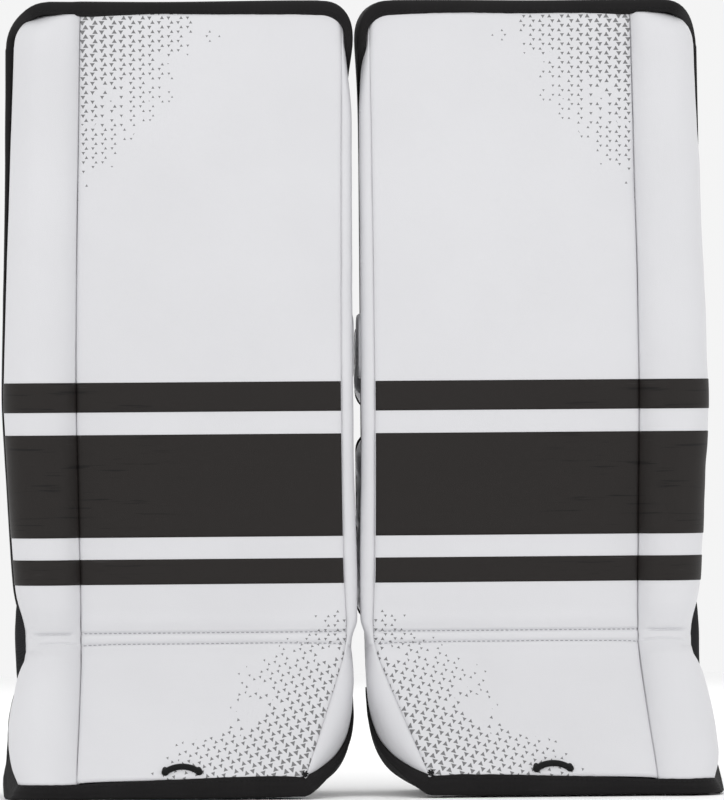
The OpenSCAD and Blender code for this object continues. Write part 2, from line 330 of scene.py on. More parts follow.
def merged(pad, piece, objects):
    """One mesh of several; each keeps its material."""
    bm = bmesh.new()
    materials = []
    for obj in objects:
        first = len(bm.faces)
        bm.from_mesh(obj.data)
        bm.faces.ensure_lookup_table()
        for m in obj.data.materials:
            if m not in materials:
                materials.append(m)
        if obj.data.materials:
            index = materials.index(obj.data.materials[0])
            for face in bm.faces[first:]:
                face.material_index = index
    mesh = bpy.data.meshes.new(pad.name(piece))
    bm.to_mesh(mesh)
    bm.free()
    for m in materials:
        mesh.materials.append(m)
    for obj in objects:
        bpy.data.objects.remove(obj)
    return shade(link(bpy.data.objects.new(pad.name(piece), mesh)))


def paint(obj, material):
    obj.data.materials.clear()
    obj.data.materials.append(material)
    return obj


def headings(path, closed=False):
    """Unit directions along a path of points."""
    count = len(path)
    found = []
    for i in range(count):
        a = path[(i - 1) % count] if closed or i else path[0]
        b = path[(i + 1) % count] if closed or i < count - 1 else path[-1]
        found.append((Vector(b) - Vector(a)).normalized())
    return found


def sweep(pad, piece, path, section, up, closed_path=False):
    """A closed section of (side, up) offsets carried along a path."""
    rows = []
    for p, heading in zip(path, headings(path, closed_path)):
        side = heading.cross(Vector(up)).normalized()
        lift = side.cross(heading).normalized()
        rows.append([tuple(Vector(p) + side * a + lift * b) for a, b in section])
    if closed_path:
        rows.append(rows[0])
    return surface(pad, piece, rows, closed=True, caps=not closed_path)


def upright_rows(path, section, shares=None):
    """Rows of a tape whose width stands upright; shares narrows it from point to point."""
    side = Vector((0, 0, 1))
    rows = []
    for i, (p, heading) in enumerate(zip(path, headings(path))):
        lift = side.cross(heading).normalized()
        share = shares[i] if shares else 1.0
        rows.append([tuple(Vector(p) + side * a * share + lift * b) for a, b in section])
    return rows


def ring_section(radius, count=10):
    turns = [2 * math.pi * i / count for i in range(count)]
    return [(radius * math.cos(a), radius * math.sin(a)) for a in turns]


def tape_section(width, thickness, corner=0.6):
    """A flat strip with rounded edges, its width along the side direction."""
    w, t = width / 2, thickness / 2
    points = []
    for cx, cy, start in ((w - corner, t - corner, 0), (-w + corner, t - corner, 90),
                          (-w + corner, -t + corner, 180), (w - corner, -t + corner, 270)):
        for step in (0, 45, 90):
            a = math.radians(start + step)
            points.append((cx + corner * math.cos(a), cy + corner * math.sin(a)))
    return points


def rounded(x0, x1, y0, y1, r, steps=6):
    points = []
    for cx, cy, start in ((x1 - r, y0 + r, -90), (x1 - r, y1 - r, 0), (x0 + r, y1 - r, 90),
                          (x0 + r, y0 + r, 180)):
        for i in range(steps + 1):
            a = math.radians(start + 90 * i / steps)
            points.append((cx + r * math.cos(a), cy + r * math.sin(a)))
    return points


def dense(points, step, closed=False):
    """The same path with points at most step apart."""
    ring = list(points) + ([points[0]] if closed else [])
    found = [ring[0]]
    for a, b in zip(ring, ring[1:]):
        gap = math.dist(a, b)
        count = max(math.ceil(gap / step), 1)
        found += [tuple(mix(p, q, i / count) for p, q in zip(a, b)) for i in range(1, count + 1)]
    return found[:-1] if closed else found


def stitches(pad, piece, path, lift, pitch=3.8, length=2.6, radius=0.36):
    """A row of sewn stitches on a path of points; lift is the direction out of the surface."""
    far = [0.0]
    for a, b in zip(path, path[1:]):
        far.append(far[-1] + math.dist(a, b))
    rows_of = []
    shape = ((-1.0, 0.25), (-0.7, 0.8), (0.0, 1.0), (0.7, 0.8), (1.0, 0.25))
    at, i = pitch / 2, 0
    up = Vector(lift).normalized()
    while at < far[-1]:
        while far[i + 1] < at:
            i += 1
        t = (at - far[i]) / (far[i + 1] - far[i])
        middle = Vector(path[i]).lerp(Vector(path[i + 1]), t)
        heading = (Vector(path[i + 1]) - Vector(path[i])).normalized()
        side = heading.cross(up).normalized()
        rows = []
        for along, size in shape:
            centre = middle + heading * along * length / 2 - up * radius * (1.0 - size) * 0.8
            rows.append([tuple(centre + side * a * size + up * b * size)
                         for a, b in ring_section(radius, 6)])
        rows_of.append(rows)
        at += pitch
    threads = [surface(pad, f"{piece}_{n}", rows, closed=True, caps=True)
               for n, rows in enumerate(rows_of)]
    return merged(pad, piece, threads)


# ---- materials ----

class Shader:
    """A material's nodes, added one by one."""

    def __init__(self, name, slot, roughness, **constants):
        self.material = bpy.data.materials.new(name)
        self.material.use_nodes = True
        self.material["record_slot"] = slot
        self.tree = self.material.node_tree
        self.surface = self.tree.nodes["Principled BSDF"]
        self.surface.inputs["Roughness"].default_value = roughness
        for socket, value in constants.items():
            self.surface.inputs[socket.replace("_", " ")].default_value = value
        self.place = self.tree.nodes.new("ShaderNodeTexCoord").outputs["Object"]
        self.uv = self.tree.nodes.new("ShaderNodeUVMap")
        self.uv.uv_map = "Surface"

    def set(self, socket, value):
        if isinstance(value, bpy.types.NodeSocket):
            self.tree.links.new(value, socket)
        else:
            socket.default_value = value

    def math(self, operation, a, b=0.0):
        node = self.tree.nodes.new("ShaderNodeMath")
        node.operation = operation
        for socket, value in zip(node.inputs, (a, b)):
            self.set(socket, value)
        return node.outputs[0]

    def plus(self, a, b):
        return self.math("ADD", a, b)

    def minus(self, a, b):
        return self.math("SUBTRACT", a, b)

    def times(self, a, b):
        return self.math("MULTIPLY", a, b)

    def over(self, a, b):
        return self.math("DIVIDE", a, b)

    def size(self, a):
        return self.math("ABSOLUTE", a)

    def smooth(self, value, low, high):
        """0 below low and 1 above high; the other way round where low is the larger."""
        node = self.tree.nodes.new("ShaderNodeMapRange")
        node.interpolation_type = "SMOOTHSTEP"
        turned = low > high
        for name, v in (("Value", value), ("From Min", min(low, high)), ("From Max", max(low, high)),
                        ("To Min", 1.0 if turned else 0.0), ("To Max", 0.0 if turned else 1.0)):
            self.set(node.inputs[name], v)
        return node.outputs[0]

    def scaled(self, vector, x, y, z, turn=0.0):
        node = self.tree.nodes.new("ShaderNodeMapping")
        self.set(node.inputs["Vector"], vector)
        node.inputs["Rotation"].default_value = (0.0, 0.0, turn)
        node.inputs["Scale"].default_value = (x, y, z)
        return node.outputs[0]

    def noise(self, vector, scale, detail=2.0, rough=0.5):
        node = self.tree.nodes.new("ShaderNodeTexNoise")
        self.set(node.inputs["Vector"], vector)
        node.inputs["Scale"].default_value = scale
        node.inputs["Detail"].default_value = detail
        node.inputs["Roughness"].default_value = rough
        return node.outputs["Fac"]

    def cells(self, vector, scale, feature="F1", randomness=1.0):
        node = self.tree.nodes.new("ShaderNodeTexVoronoi")
        node.feature = feature
        self.set(node.inputs["Vector"], vector)
        node.inputs["Scale"].default_value = scale
        node.inputs["Randomness"].default_value = randomness
        return node.outputs["Distance"]

    def parts(self, vector):
        node = self.tree.nodes.new("ShaderNodeSeparateXYZ")
        self.set(node.inputs[0], vector)
        return node.outputs[0], node.outputs[1], node.outputs[2]

    def joined(self, x, y, z=0.0):
        node = self.tree.nodes.new("ShaderNodeCombineXYZ")
        for socket, value in zip(node.inputs, (x, y, z)):
            self.set(socket, value)
        return node.outputs[0]

    def random(self, vector):
        node = self.tree.nodes.new("ShaderNodeTexWhiteNoise")
        node.noise_dimensions = "3D"
        self.set(node.inputs["Vector"], vector)
        return node.outputs["Value"]

    def colours(self, factor, first, second):
        node = self.tree.nodes.new("ShaderNodeMix")
        node.data_type = "RGBA"
        self.set(node.inputs["Factor"], factor)
        for name, value in (("A", first), ("B", second)):
            socket = next(i for i in node.inputs if i.name == name and i.type == "RGBA")
            self.set(socket, value if isinstance(value, bpy.types.NodeSocket) else (*value, 1.0))
        return next(o for o in node.outputs if o.type == "RGBA")

    def colour(self, value):
        self.set(self.surface.inputs["Base Color"], value)

    def relief(self, height, distance, strength=1.0, under=None):
        node = self.tree.nodes.new("ShaderNodeBump")
        node.inputs["Strength"].default_value = strength
        node.inputs["Distance"].default_value = distance
        self.set(node.inputs["Height"], height)
        if under is not None:
            self.set(node.inputs["Normal"], under)
        self.set(self.surface.inputs["Normal"], node.outputs[0])
        return node.outputs[0]


WHITE = (0.682, 0.682, 0.703)
PRINT_GREY = (0.17, 0.17, 0.175)
BLACK_LEATHER = (0.0135, 0.011, 0.010)
PITCH_X = 14.8      # a pair of printed triangles
PITCH_Z = 3.6       # a row of them


def leather_grain(sh, strength):
    soft = sh.noise(sh.place, 42.0, 2.0)
    base = sh.relief(soft, 0.0012, 0.16)
    grain = sh.cells(sh.place, 1150.0, "DISTANCE_TO_EDGE")
    sh.relief(sh.smooth(grain, 0.0, 0.35), 0.00012, strength, base)


def print_mask(sh, turn, reach):
    """Printed triangles that shrink and drop out away from a corner; reach is 0 at the corner."""
    x, z, _ = sh.parts(sh.scaled(sh.uv.outputs[0], 1000.0, 1000.0, 1.0))
    c, s = math.cos(turn), math.sin(turn)
    u = sh.plus(sh.times(x, c), sh.times(z, s))
    v = sh.minus(sh.times(z, c), sh.times(x, s))

    # Rows of the print, every other one moved by half a pair; the two of a pair point up and down
    row = sh.over(v, PITCH_Z)
    row_number = sh.math("FLOOR", row)
    shift = sh.times(sh.math("MODULO", sh.size(row_number), 2.0), 0.5)
    column = sh.times(sh.plus(sh.over(u, PITCH_X), shift), 2.0)
    column_number = sh.math("FLOOR", column)
    half = sh.math("FLOORED_MODULO", column_number, 2.0)
    middle = sh.minus(0.66, sh.times(half, 0.32))
    lx = sh.times(sh.minus(sh.minus(column, column_number), middle), PITCH_X / 2)
    up = sh.minus(sh.times(half, 2.0), 1.0)
    lz = sh.times(sh.times(sh.minus(sh.minus(row, row_number), 0.5), PITCH_Z), up)
    lz = sh.plus(lz, 0.15)

    # Distance from the triangle's middle, larger towards its sides
    turns = sh.over(sh.math("ARCTAN2", lx, lz), 2 * math.pi / 3)
    third = sh.minus(sh.math("FRACT", sh.plus(turns, 0.5)), 0.5)
    angle = sh.times(sh.size(third), 2 * math.pi / 3)
    radius = sh.math("SQRT", sh.plus(sh.times(lx, lx), sh.times(lz, lz)))
    star = sh.plus(sh.times(radius, sh.math("COSINE", angle)),
                   sh.times(sh.times(radius, sh.math("SINE", angle)), 1.95))

    # Which triangles are kept, and how large they are
    cell = sh.joined(column_number, row_number, 3.0)
    chance = sh.random(cell)
    clumps = sh.noise(sh.scaled(cell, 0.16, 0.11, 1.0), 1.0, 1.0)
    fade = sh.plus(reach(x, z), sh.times(sh.minus(clumps, 0.5), 1.1))
    kept = sh.math("LESS_THAN", sh.plus(fade, sh.times(chance, 0.22)), 0.98)
    size = sh.math("MAXIMUM", sh.minus(2.95, sh.times(reach(x, z), 1.8)), 0.9)
    inside = sh.minus(size, star)
    return sh.times(sh.smooth(inside, -0.12, 0.12), kept)


def printed_leather(name, turn, corners):
    """White leather with printed corners; corners are (x at z = 0, slope of x, z, width, height)."""
    sh = Shader(name, "white_leather", 0.5, Coat_Weight=0.05, Coat_Roughness=0.4)
    tint = sh.smooth(sh.noise(sh.place, 9.0, 3.0), 0.3, 0.75)
    colour = sh.colours(tint, WHITE, tuple(0.965 * c for c in WHITE))
    for foot, slope, level, wide, high in corners:
        def reach(x, z, foot=foot, slope=slope, level=level, wide=wide, high=high):
            edge = sh.plus(foot, sh.times(z, slope))
            across = sh.size(sh.minus(x, edge))
            along = sh.size(sh.minus(z, level))
            return sh.plus(sh.over(across, wide), sh.over(along, high))
        colour = sh.colours(print_mask(sh, turn, reach), colour, PRINT_GREY)
    sh.colour(colour)
    leather_grain(sh, 0.35)
    return sh.material


def black_leather():
    sh = Shader("black_leather", "black_leather", 0.55, Specular_IOR_Level=0.25)
    x, _, z = sh.parts(sh.place)
    flat = sh.joined(sh.size(x), z)
    streaks = sh.noise(sh.scaled(flat, 16.0, 330.0, 1.0, math.radians(-58.0)), 1.0, 2.0, 0.6)
    zone = sh.smooth(sh.noise(flat, 14.0, 2.0), 0.42, 0.62)
    outer = sh.smooth(sh.size(x), 0.12, 0.19)
    bright = sh.times(sh.smooth(streaks, 0.68, 0.76), sh.times(zone, outer))
    dark = sh.times(sh.smooth(streaks, 0.40, 0.33), outer)
    colour = sh.colours(dark, BLACK_LEATHER, (0.004, 0.003, 0.003))
    sh.colour(sh.colours(sh.times(bright, 0.55), colour, (0.07, 0.07, 0.073)))
    leather_grain(sh, 0.45)
    return sh.material


def weave(name, slot, colour, thread, relief, roughness=0.8, slant=0.0, use_uv=True):
    """Woven cloth; thread is the width of one thread in metres."""
    sh = Shader(name, slot, roughness, Sheen_Weight=0.015, Sheen_Roughness=0.5,
                Specular_IOR_Level=0.1)
    source = sh.uv.outputs[0] if use_uv else sh.place
    k = 1.0 / thread
    a, b, c = sh.parts(sh.scaled(source, k, k, k, slant))
    if not use_uv:
        a, b = sh.plus(a, sh.times(b, 0.9)), c
    crossing = sh.times(sh.math("SINE", sh.times(a, math.pi)), sh.math("SINE", sh.times(b, math.pi)))
    height = sh.plus(sh.times(crossing, 0.5), 0.5)
    blotches = sh.noise(sh.place, 38.0, 4.0)
    # The colour runs from a darker to a lighter copy of it: raised thread crossings are painted lighter
    # and the gaps between threads darker, as painted highlight and painted shade; a coarse noise also
    # makes the cloth lighter in patches.
    lit = tuple(min(1.0, 1.55 * v + 0.004) for v in colour)
    tone = sh.plus(sh.times(height, 0.55), sh.times(blotches, 0.45))
    sh.colour(sh.colours(tone, tuple(0.55 * v for v in colour), lit))
    base = sh.relief(sh.noise(sh.place, 70.0, 3.0), 0.0008, 0.22)
    sh.relief(height, relief, 0.8, base)
    return sh.material


def liner_cloth():
    sh = Shader("liner_cloth", "liner", 0.9, Sheen_Weight=0.35, Sheen_Roughness=0.4,
                Specular_IOR_Level=0.2)
    knit = sh.cells(sh.scaled(sh.place, 1.0, 1.0, 0.62), 780.0, "F1", 0.35)
    nap = sh.noise(sh.place, 900.0, 3.0, 0.7)
    patches = sh.noise(sh.place, 24.0, 3.0)
    tone = sh.plus(sh.times(nap, 0.5), sh.times(patches, 0.5))
    sh.colour(sh.colours(tone, (0.115, 0.118, 0.127), (0.21, 0.215, 0.225)))
    base = sh.relief(patches, 0.0010, 0.3)
    sh.relief(sh.plus(knit, sh.times(nap, 0.4)), 0.00028, 0.6, base)
    return sh.material


def loop_cloth():
    sh = Shader("loop_cloth", "loop", 0.95, Sheen_Weight=0.5, Sheen_Roughness=0.35,
                Specular_IOR_Level=0.15)
    loops = sh.noise(sh.place, 1500.0, 3.0, 0.75)
    matted = sh.noise(sh.place, 60.0, 3.0)
    tone = sh.plus(sh.times(loops, 0.6), sh.times(matted, 0.4))
    sh.colour(sh.colours(tone, (0.012, 0.012, 0.013), (0.055, 0.055, 0.058)))
    sh.relief(loops, 0.0006, 0.9)
    return sh.material


def moulded(name, slot, colour, roughness):
    sh = Shader(name, slot, roughness, Specular_IOR_Level=0.45)
    scuffs = sh.smooth(sh.noise(sh.scaled(sh.place, 1.0, 1.0, 3.0), 90.0, 4.0, 0.7), 0.55, 0.75)
    sh.colour(sh.colours(sh.times(scuffs, 0.35), colour, tuple(1.9 * v for v in colour)))
    sh.relief(sh.noise(sh.place, 2200.0, 2.0), 0.00008, 0.5)
    return sh.material


def thread_cloth(name, slot, colour):
    sh = Shader(name, slot, 0.75, Sheen_Weight=0.04, Sheen_Roughness=0.5,
                Specular_IOR_Level=0.15)
    twist = sh.noise(sh.scaled(sh.uv.outputs[0], 900.0, 2600.0, 1.0, math.radians(35.0)), 1.0, 1.0)
    sh.colour(sh.colours(twist, tuple(0.7 * v for v in colour), tuple(1.2 * v for v in colour)))
    sh.relief(twist, 0.0002, 0.7)
    return sh.material


SHIN_LEATHER = printed_leather("shin_leather", 0.0, ((219.0, 0.0, 606.0, 118.0, 158.0),
                                                     (11.0, 0.0, 14.0, 122.0, 158.0)))
WHITE_LEATHER = printed_leather("plain_leather", 0.0, ())
BOOT_LEATHER = printed_leather("boot_leather", math.radians(-17.0),
                               ((54.0, -0.41, 14.0, 138.0, 165.0),))
BLACK = black_leather()
BINDING = weave("binding_tape", "binding", (0.0105, 0.0098, 0.0102), 0.0007, 0.00022, 0.7,
                math.radians(45.0))
NYLON = weave("nylon_cloth", "nylon", (0.017, 0.017, 0.0185), 0.0009, 0.00028, 0.78, use_uv=False)
WEBBING = weave("webbing_cloth", "webbing", (0.021, 0.021, 0.0225), 0.0013, 0.0005, 0.72)
LINER = liner_cloth()
LOOP = loop_cloth()
LACE = thread_cloth("lace_cord", "lace", (0.009, 0.009, 0.0095))
GREY_THREAD = thread_cloth("grey_thread", "white_leather", (0.36, 0.36, 0.385))
BLACK_THREAD = thread_cloth("black_thread", "binding", (0.010, 0.010, 0.0105))
BUCKLE = moulded("buckle_plastic", "buckle", (0.016, 0.016, 0.017), 0.36)
BRIDGE = moulded("bridge_plastic", "bridge", (0.022, 0.022, 0.023), 0.44)


# ---- how pieces move ----

def fold(pad, obj):
    """Bakes a piece's placement into its mesh."""
    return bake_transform(obj, f"{pad.side}_shin", f"{pad.side}_boot", pad.point((100, -30, 137)),
                    pad.point((100, -30, 108)))


def ride(pad, obj, body):
    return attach(obj, f"{pad.side}_{body}")


# ---- front of the pad ----

def break_relief(s):
    """Grooves of the two stitch rows and the swelling between and beside them."""
    upper, lower = STITCH_ROWS
    grooves = 1.5 * bump((s - upper) / 1.2) + 1.2 * bump((s - lower) / 1.2)
    return (1.0 * bump((s - (upper + lower) / 2) / 3.4) - grooves
            + 0.9 * bump((s - upper + 8) / 6) + 0.7 * bump((s - lower - 9) / 7))


def face_d(pad, s, x):
    """How far the face stands out at s and x."""
    left, right = inner_seam(s), outer_seam(s)
    across = 2 * (x - left) / (right - left) - 1
    crown = 3.0 * (1 - abs(across) ** 4)
    waves = 0.8 * pad.wave(x, 0, s, 70) + 0.35 * pad.wave(x, 9, s, 24)
    pucker = 0.25 * pad.wave(x, 3, s, 4.2) * bump((s + 4) / 9)
    top = 1.2 * math.exp((TOP_S - s) / 4)
    toe = 1.0 * math.exp((s - BOOT_LEN) / 4)
    dip_in = 2.6 * math.exp((left - x) / 1.8)
    dip_out = 1.5 * math.exp((x - right) / 1.5)
    return crown + waves + pucker + break_relief(s) - dip_in - dip_out - top - toe


def shin_rows(step=4.0):
    return joined(spread(TOP_S, TOP_S + 30, 18), spread(TOP_S + 30, -30, int(430 / step)),
                  spread(-30, -14, 12), spread(-14, 0, 30))


def boot_rows(step=3.4):
    return joined(spread(0.3, 6, 12), spread(6, 20, 10), spread(20, BOOT_LEN, int(108 / step)))


def face_columns(s, edge=(0.0, 0.5, 1.1, 1.9, 3.0, 4.6, 7.0)):
    left, right = inner_seam(s), outer_seam(s)
    middle = spread(left + 10, right - 10, 56)
    return [left + e for e in edge] + middle + [right - e for e in reversed(edge)]


def make_face(pad):
    rows, uv = [], []
    for s in shin_rows() + boot_rows():
        row, marks = [], []
        for x in face_columns(s):
            lower = min(s, boot_end(x, 0) + 0.4)
            p = on_front(lower, x, face_d(pad, lower, x))
            row.append(p)
            marks.append((x * MM, spine(lower)[1] * MM))
        rows.append(row)
        uv.append(marks)
    cover = shell(surface(pad, "face_leather", rows, uv), 1.6)
    cover.data.materials.append(SHIN_LEATHER)
    cover.data.materials.append(BOOT_LEATHER)
    border = (BREAK_Z + 1.5) * MM
    for face in cover.data.polygons:
        face.material_index = 1 if face.center.z < border else 0
    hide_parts(pad.name("face_cover"), pad.name("shin_core"), pad.name("shin_stiffener"),
                pad.name("boot_cover"), pad.name("break_seam"))
    fold(pad, cover)
    for n, s in enumerate(STITCH_ROWS):
        path = []
        for x in spread(inner_seam(s) + 3, outer_seam(s) - 2, 60):
            path.append(on_front(s, x, face_d(pad, s, x) + 0.2))
        lift = spine(s)
        thread = stitches(pad, f"break_stitches_{n}", path, (0, lift[2], lift[3]))
        fold(pad, paint(thread, GREY_THREAD))


def roll_section(s, count=30):
    """(x, d) of the roll from its seam over the crown, round the side and back along the wall."""
    high = ROLL_BASE + roll_crown(s)
    start = math.asin(min(12.3 / high, 0.95))
    seam, wall = outer_seam(s), outer_x(s)
    rx = (wall - seam) / (1 + math.cos(start))
    cx = wall - rx
    points = []
    for i in range(count):
        a = math.pi + start + (math.pi - start) * i / (count - 1)
        points.append((cx + rx * math.cos(a), -ROLL_BASE - high * math.sin(a)))
    for d in (-16, -19, -22, -26, -30, -34, -38, -WALL, -WALL - 2):
        lean = 0.6 * ((-ROLL_BASE - d) / ROLL_WALL) ** 2
        points.append((wall - lean, d))
    return points


def out_of(section, i):
    """Direction out of the roll at a point of its section."""
    a = Vector(section[max(i - 1, 0)])
    b = Vector(section[min(i + 1, len(section) - 1)])
    heading = (b - a).normalized()
    return Vector((-heading.y, heading.x))


def roll_offset(pad, s, x, d):
    """Waves and folds of the roll, along the way out of it."""
    waves = 0.9 * pad.wave(x, d, s, 60) + 0.3 * pad.wave(x, d, s, 18)
    across = ease((x - 221) / 6) * ease((257 - x) / 9)
    pinch = 2.0 * bump((s - STITCH_ROWS[0] - 0.5) / 1.1) * across
    tuck = 1.0 * bump((s - STITCH_ROWS[1]) / 1.2) * ease((258 - x) / 10)
    slant = s - 2 - 1.15 * (258 - x)
    crease = 0.9 * bump(slant / 1.6) * bump((x - 254) / 7)
    slant_b = s - 98 + 1.9 * (x - 250)
    crease_b = 0.6 * bump(slant_b / 1.8) * bump((x - 252) / 8)
    pucker = 0.35 * pad.wave(x * 3, d, s * 3, 9) * bump((s + 4) / 14) * ease((x - 246) / 8)
    return waves + pucker - pinch - tuck - crease - crease_b


def make_roll(pad):
    rows = []
    for s in shin_rows() + boot_rows(4.0):
        section = roll_section(s)
        row = []
        for i, (x, d) in enumerate(section):
            lower = s
            if s > 0:
                lower = s / BOOT_LEN * (boot_end(x, d) + 0.6)
            push = roll_offset(pad, lower, x, d) * ease(i / 4) * ease((len(section) - 1 - i) / 8)
            out = out_of(section, i)
            row.append(on_front(lower, x + out.x * push, d + out.y * push))
        rows.append(row)
    roll = paint(shell(surface(pad, "roll_leather", rows), 1.6), WHITE_LEATHER)
    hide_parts(pad.name("outer_roll"), pad.name("boot_roll"))
    fold(pad, roll)
    return rows


def gusset_edge(t):
    """Back edge of the boot's inner panel, from the break (0) to the toe (1)."""
    points = ((6.3, 6.0, 105.6), (6.4, -5, 91), (6.6, -19, 75), (8.0, -32, 59.5), (13.0, -47, 44),
              (22.5, -65, 31.5), (35, -84, 22.8), (45.5, -99, 18.0), (49.2, -105.5, 16.6))
    axes = [through([(i, p[k]) for i, p in enumerate(points)]) for k in range(3)]
    return tuple(axis(t * (len(points) - 1)) for axis in axes)


def make_gusset(pad):
    """The white side panel towards the other pad, shin and boot in one."""
    rows = []
    steps = 14
    for s in shin_rows():
        seam, wall = inner_seam(s), inner_x(s)
        wall = min(wall, seam - 1.0) if s > TOP_S + 14 else min(wall, seam + 12)
        row = []
        for i in range(steps + 1):
            v = 1 - i / steps
            x = (1 - v) ** 2 * seam + 2 * v * (1 - v) * (wall - 0.4) + v * v * wall
            d = (1 - v) ** 2 * -2.6 + 2 * v * (1 - v) * -1.0 + v * v * (-WALL - 2)
            fuller = 4.5 * ease((s - TOP_S - 20) / 60) + 1.9 * bump((s + 52) / 60)
            fuller *= mix(0.15, 1.0, ease(-s / 18))
            x -= fuller * math.sin(math.pi * min(v * 1.1, 1.0)) ** 0.8
            x += 0.35 * pad.wave(x, d, s, 26) * ease(v * 4) * ease((1 - v) * 4)
            row.append(on_front(s, x, d))
        rows.append(row)
    for q in spread(0.012, 1.0, 44):
        s = q * BOOT_LEN
        start = Vector(on_front(min(s, boot_end(inner_seam(s), 0)), inner_seam(s), -2.6))
        end = Vector(gusset_edge(q))
        _, _, ny, nz = spine(s)
        depth = (end.y - start.y) * ny + (end.z - start.z) * nz
        corner = Vector((end.x - 0.5, end.y - ny * depth * 0.92, end.z - nz * depth * 0.92))
        row = []
        for i in range(steps + 1):
            v = 1 - i / steps
            p = start * (1 - v) ** 2 + corner * 2 * v * (1 - v) + end * v * v
            swell = pad.wave(p.x, p.y, p.z, 30) * ease(v * 4) * ease((1 - v) * 4)
            full = 2.6 * bump((q - 0.2) / 0.18) * math.sin(math.pi * v) ** 0.8
            row.append((p.x + 0.9 * swell - full, p.y - 0.9 * swell, p.z))
        rows.append(row)
    gusset = paint(shell(surface(pad, "gusset_leather", rows), 1.4), WHITE_LEATHER)
    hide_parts(pad.name("inner_gusset"), pad.name("boot_gusset"))
    fold(pad, gusset)


def make_stripes(pad):
    """Black panels sewn on the face, and black wraps round the roll at the same heights."""
    for n, (low, high) in enumerate(STRIPES):
        values = spread(BREAK_Z - high, BREAK_Z - low, max(int((high - low) / 3), 8))
        values = [values[0]] + [values[0] + 0.5] + values[1:-1] + [values[-1] - 0.5] + [values[-1]]
        rows = []
        for k, s in enumerate(values):
            edge = -0.35 if k in (0, len(values) - 1) else 0.45
            columns = [x for x in face_columns(s) if x > inner_seam(s) + 0.4]
            rows.append([on_front(s, x, face_d(pad, s, x) + edge) for x in columns])
        panel = paint(shell(surface(pad, f"face_stripe_{n}", rows), 0.9), BLACK)
        if n == 0:
            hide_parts(pad.name("stripe_panels"))
        ride(pad, panel, "shin")
        rows = []
        for k, s in enumerate(values):
            edge = -0.35 if k in (0, len(values) - 1) else 0.5
            section = roll_section(s)[:-1]
            row = []
            for i, (x, d) in enumerate(section):
                push = roll_offset(pad, s, x, d) * ease(i / 4) * ease((len(section) - i) / 8) + edge
                out = out_of(section, i)
                row.append(on_front(s, x + out.x * push, d + out.y * push))
            rows.append(row)
        wrap = paint(shell(surface(pad, f"roll_stripe_{n}", rows), 0.9), BLACK)
        ride(pad, wrap, "shin")


# ---- binding ----

def outline_path():
    """White outline of the shin from the inner bottom over the top to the outer bottom.

    Each station is (x, z, outward x, outward z, width, front edge's y)."""
    inner_w = through([(127, 0.4), (175, 0.9), (300, 1.4), (430, 1.5), (500, 1.6), (545, 2.2),
                       (584, 4.2)])
    outer_w = through([(127, 0.6), (180, 0.9), (300, 0.8), (400, 1.4), (470, 2.6), (540, 4.4),
                       (580, 5.6)])
    stations = []
    for z in spread(127.5, TOP_Z - CORNER_IN, 90):
        front = mix(8.0, -32.4, ease((z - TOP_Z + CORNER_IN + 38) / 38))
        stations.append((INNER_WALL, z, -1.0, 0.0, inner_w(z), front))
    for i in range(1, 13):
        a = math.radians(180 - 90 * i / 12)
        t = ease(i / 10)
        stations.append((INNER_WALL + CORNER_IN + CORNER_IN * math.cos(a),
                         TOP_Z - CORNER_IN + CORNER_IN * math.sin(a), math.cos(a), math.sin(a),
                         mix(4.2, 10.0, t), mix(-32.4, -33.2, t)))
    for x in spread(30, 238, 60):
        over_roll = ease((x - 212) / 10)
        width = mix(10.0, 8.0, over_roll) + 0.4 * math.sin(x / 31)
        lift = 1.6 * over_roll
        crown = 3.4 * math.sin(math.pi * min(max((x - 216) / 46, 0.0), 1.0))
        stations.append((x, TOP_Z + lift, 0.0, 1.0, width, -33.4 - crown))
    for i in range(1, 13):
        a = math.radians(90 - 90 * i / 12)
        t = ease(i / 11)
        z = TOP_Z - CORNER_OUT + (CORNER_OUT + 1.6 * (1 - t)) * math.sin(a)
        front = mix(-36.6, 8.0, ease((i - 2) / 9))
        stations.append((CORNER_OUT_X + CORNER_OUT * math.cos(a), z, math.cos(a), math.sin(a),
                         mix(8.0, 5.4, t), front))
    for z in spread(TOP_Z - CORNER_OUT - 2, 127.5, 90):
        stations.append((outer_wall(BREAK_Z - z), z, 1.0, 0.0, outer_w(z), 8.0))
    return stations


def make_binding(pad):
    """The black tape over the top and down both back edges, with its stitches."""
    stations = outline_path()
    rows = []
    for x, z, nx, nz, w, front in stations:
        ragged = 0.45 * pad.wave(x, 5, z, 7) + 0.2 * pad.wave(x, 5, z, 2.5)
        puff = 0.5 * pad.wave(x, 11, z, 40)
        loop = [(-1.8, front + 0.9), (-0.1 + ragged, front - 0.6), (0.25 * w, front - 1.3),
                (0.62 * w, front - 0.7 + 0.05 * w), (0.9 * w, front + 0.18 * w), (w, front + 0.45 * w),
                (w + puff, mix(front, 22, 0.4)), (w + puff, 14), (w, 17.5), (0.85 * w, 20.6),
                (0.4 * w, 22.3), (-2, 22.9), (-8, 23.1 + 0.2 * ragged), (-9.6, 22.6), (-9.8, 21.7),
                (-6, 21.4), (-2.2, 20.8)]
        rows.append([(x + nx * n, y, z + nz * n) for n, y in loop])
    tape = paint(surface(pad, "edge_tape", rows, closed=True, caps=True), BINDING)
    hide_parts(pad.name("edge_binding"))
    ride(pad, tape, "shin")
    rear = [(x - nx * 6.5, 23.15, z - nz * 6.5) for x, z, nx, nz, w, front in stations]
    ride(pad, paint(stitches(pad, "edge_stitches_back", rear, (0, 1, 0), 4.2, 2.8, 0.4),
                    BLACK_THREAD), "shin")
    top = [(x + nx * 1.3, front - 1.25, z + nz * 1.3)
           for x, z, nx, nz, w, front in stations if front < -30]
    ride(pad, paint(stitches(pad, "edge_stitches_top", top, (0, -1, 0), 4.2, 2.6, 0.38),
                    BLACK_THREAD), "shin")


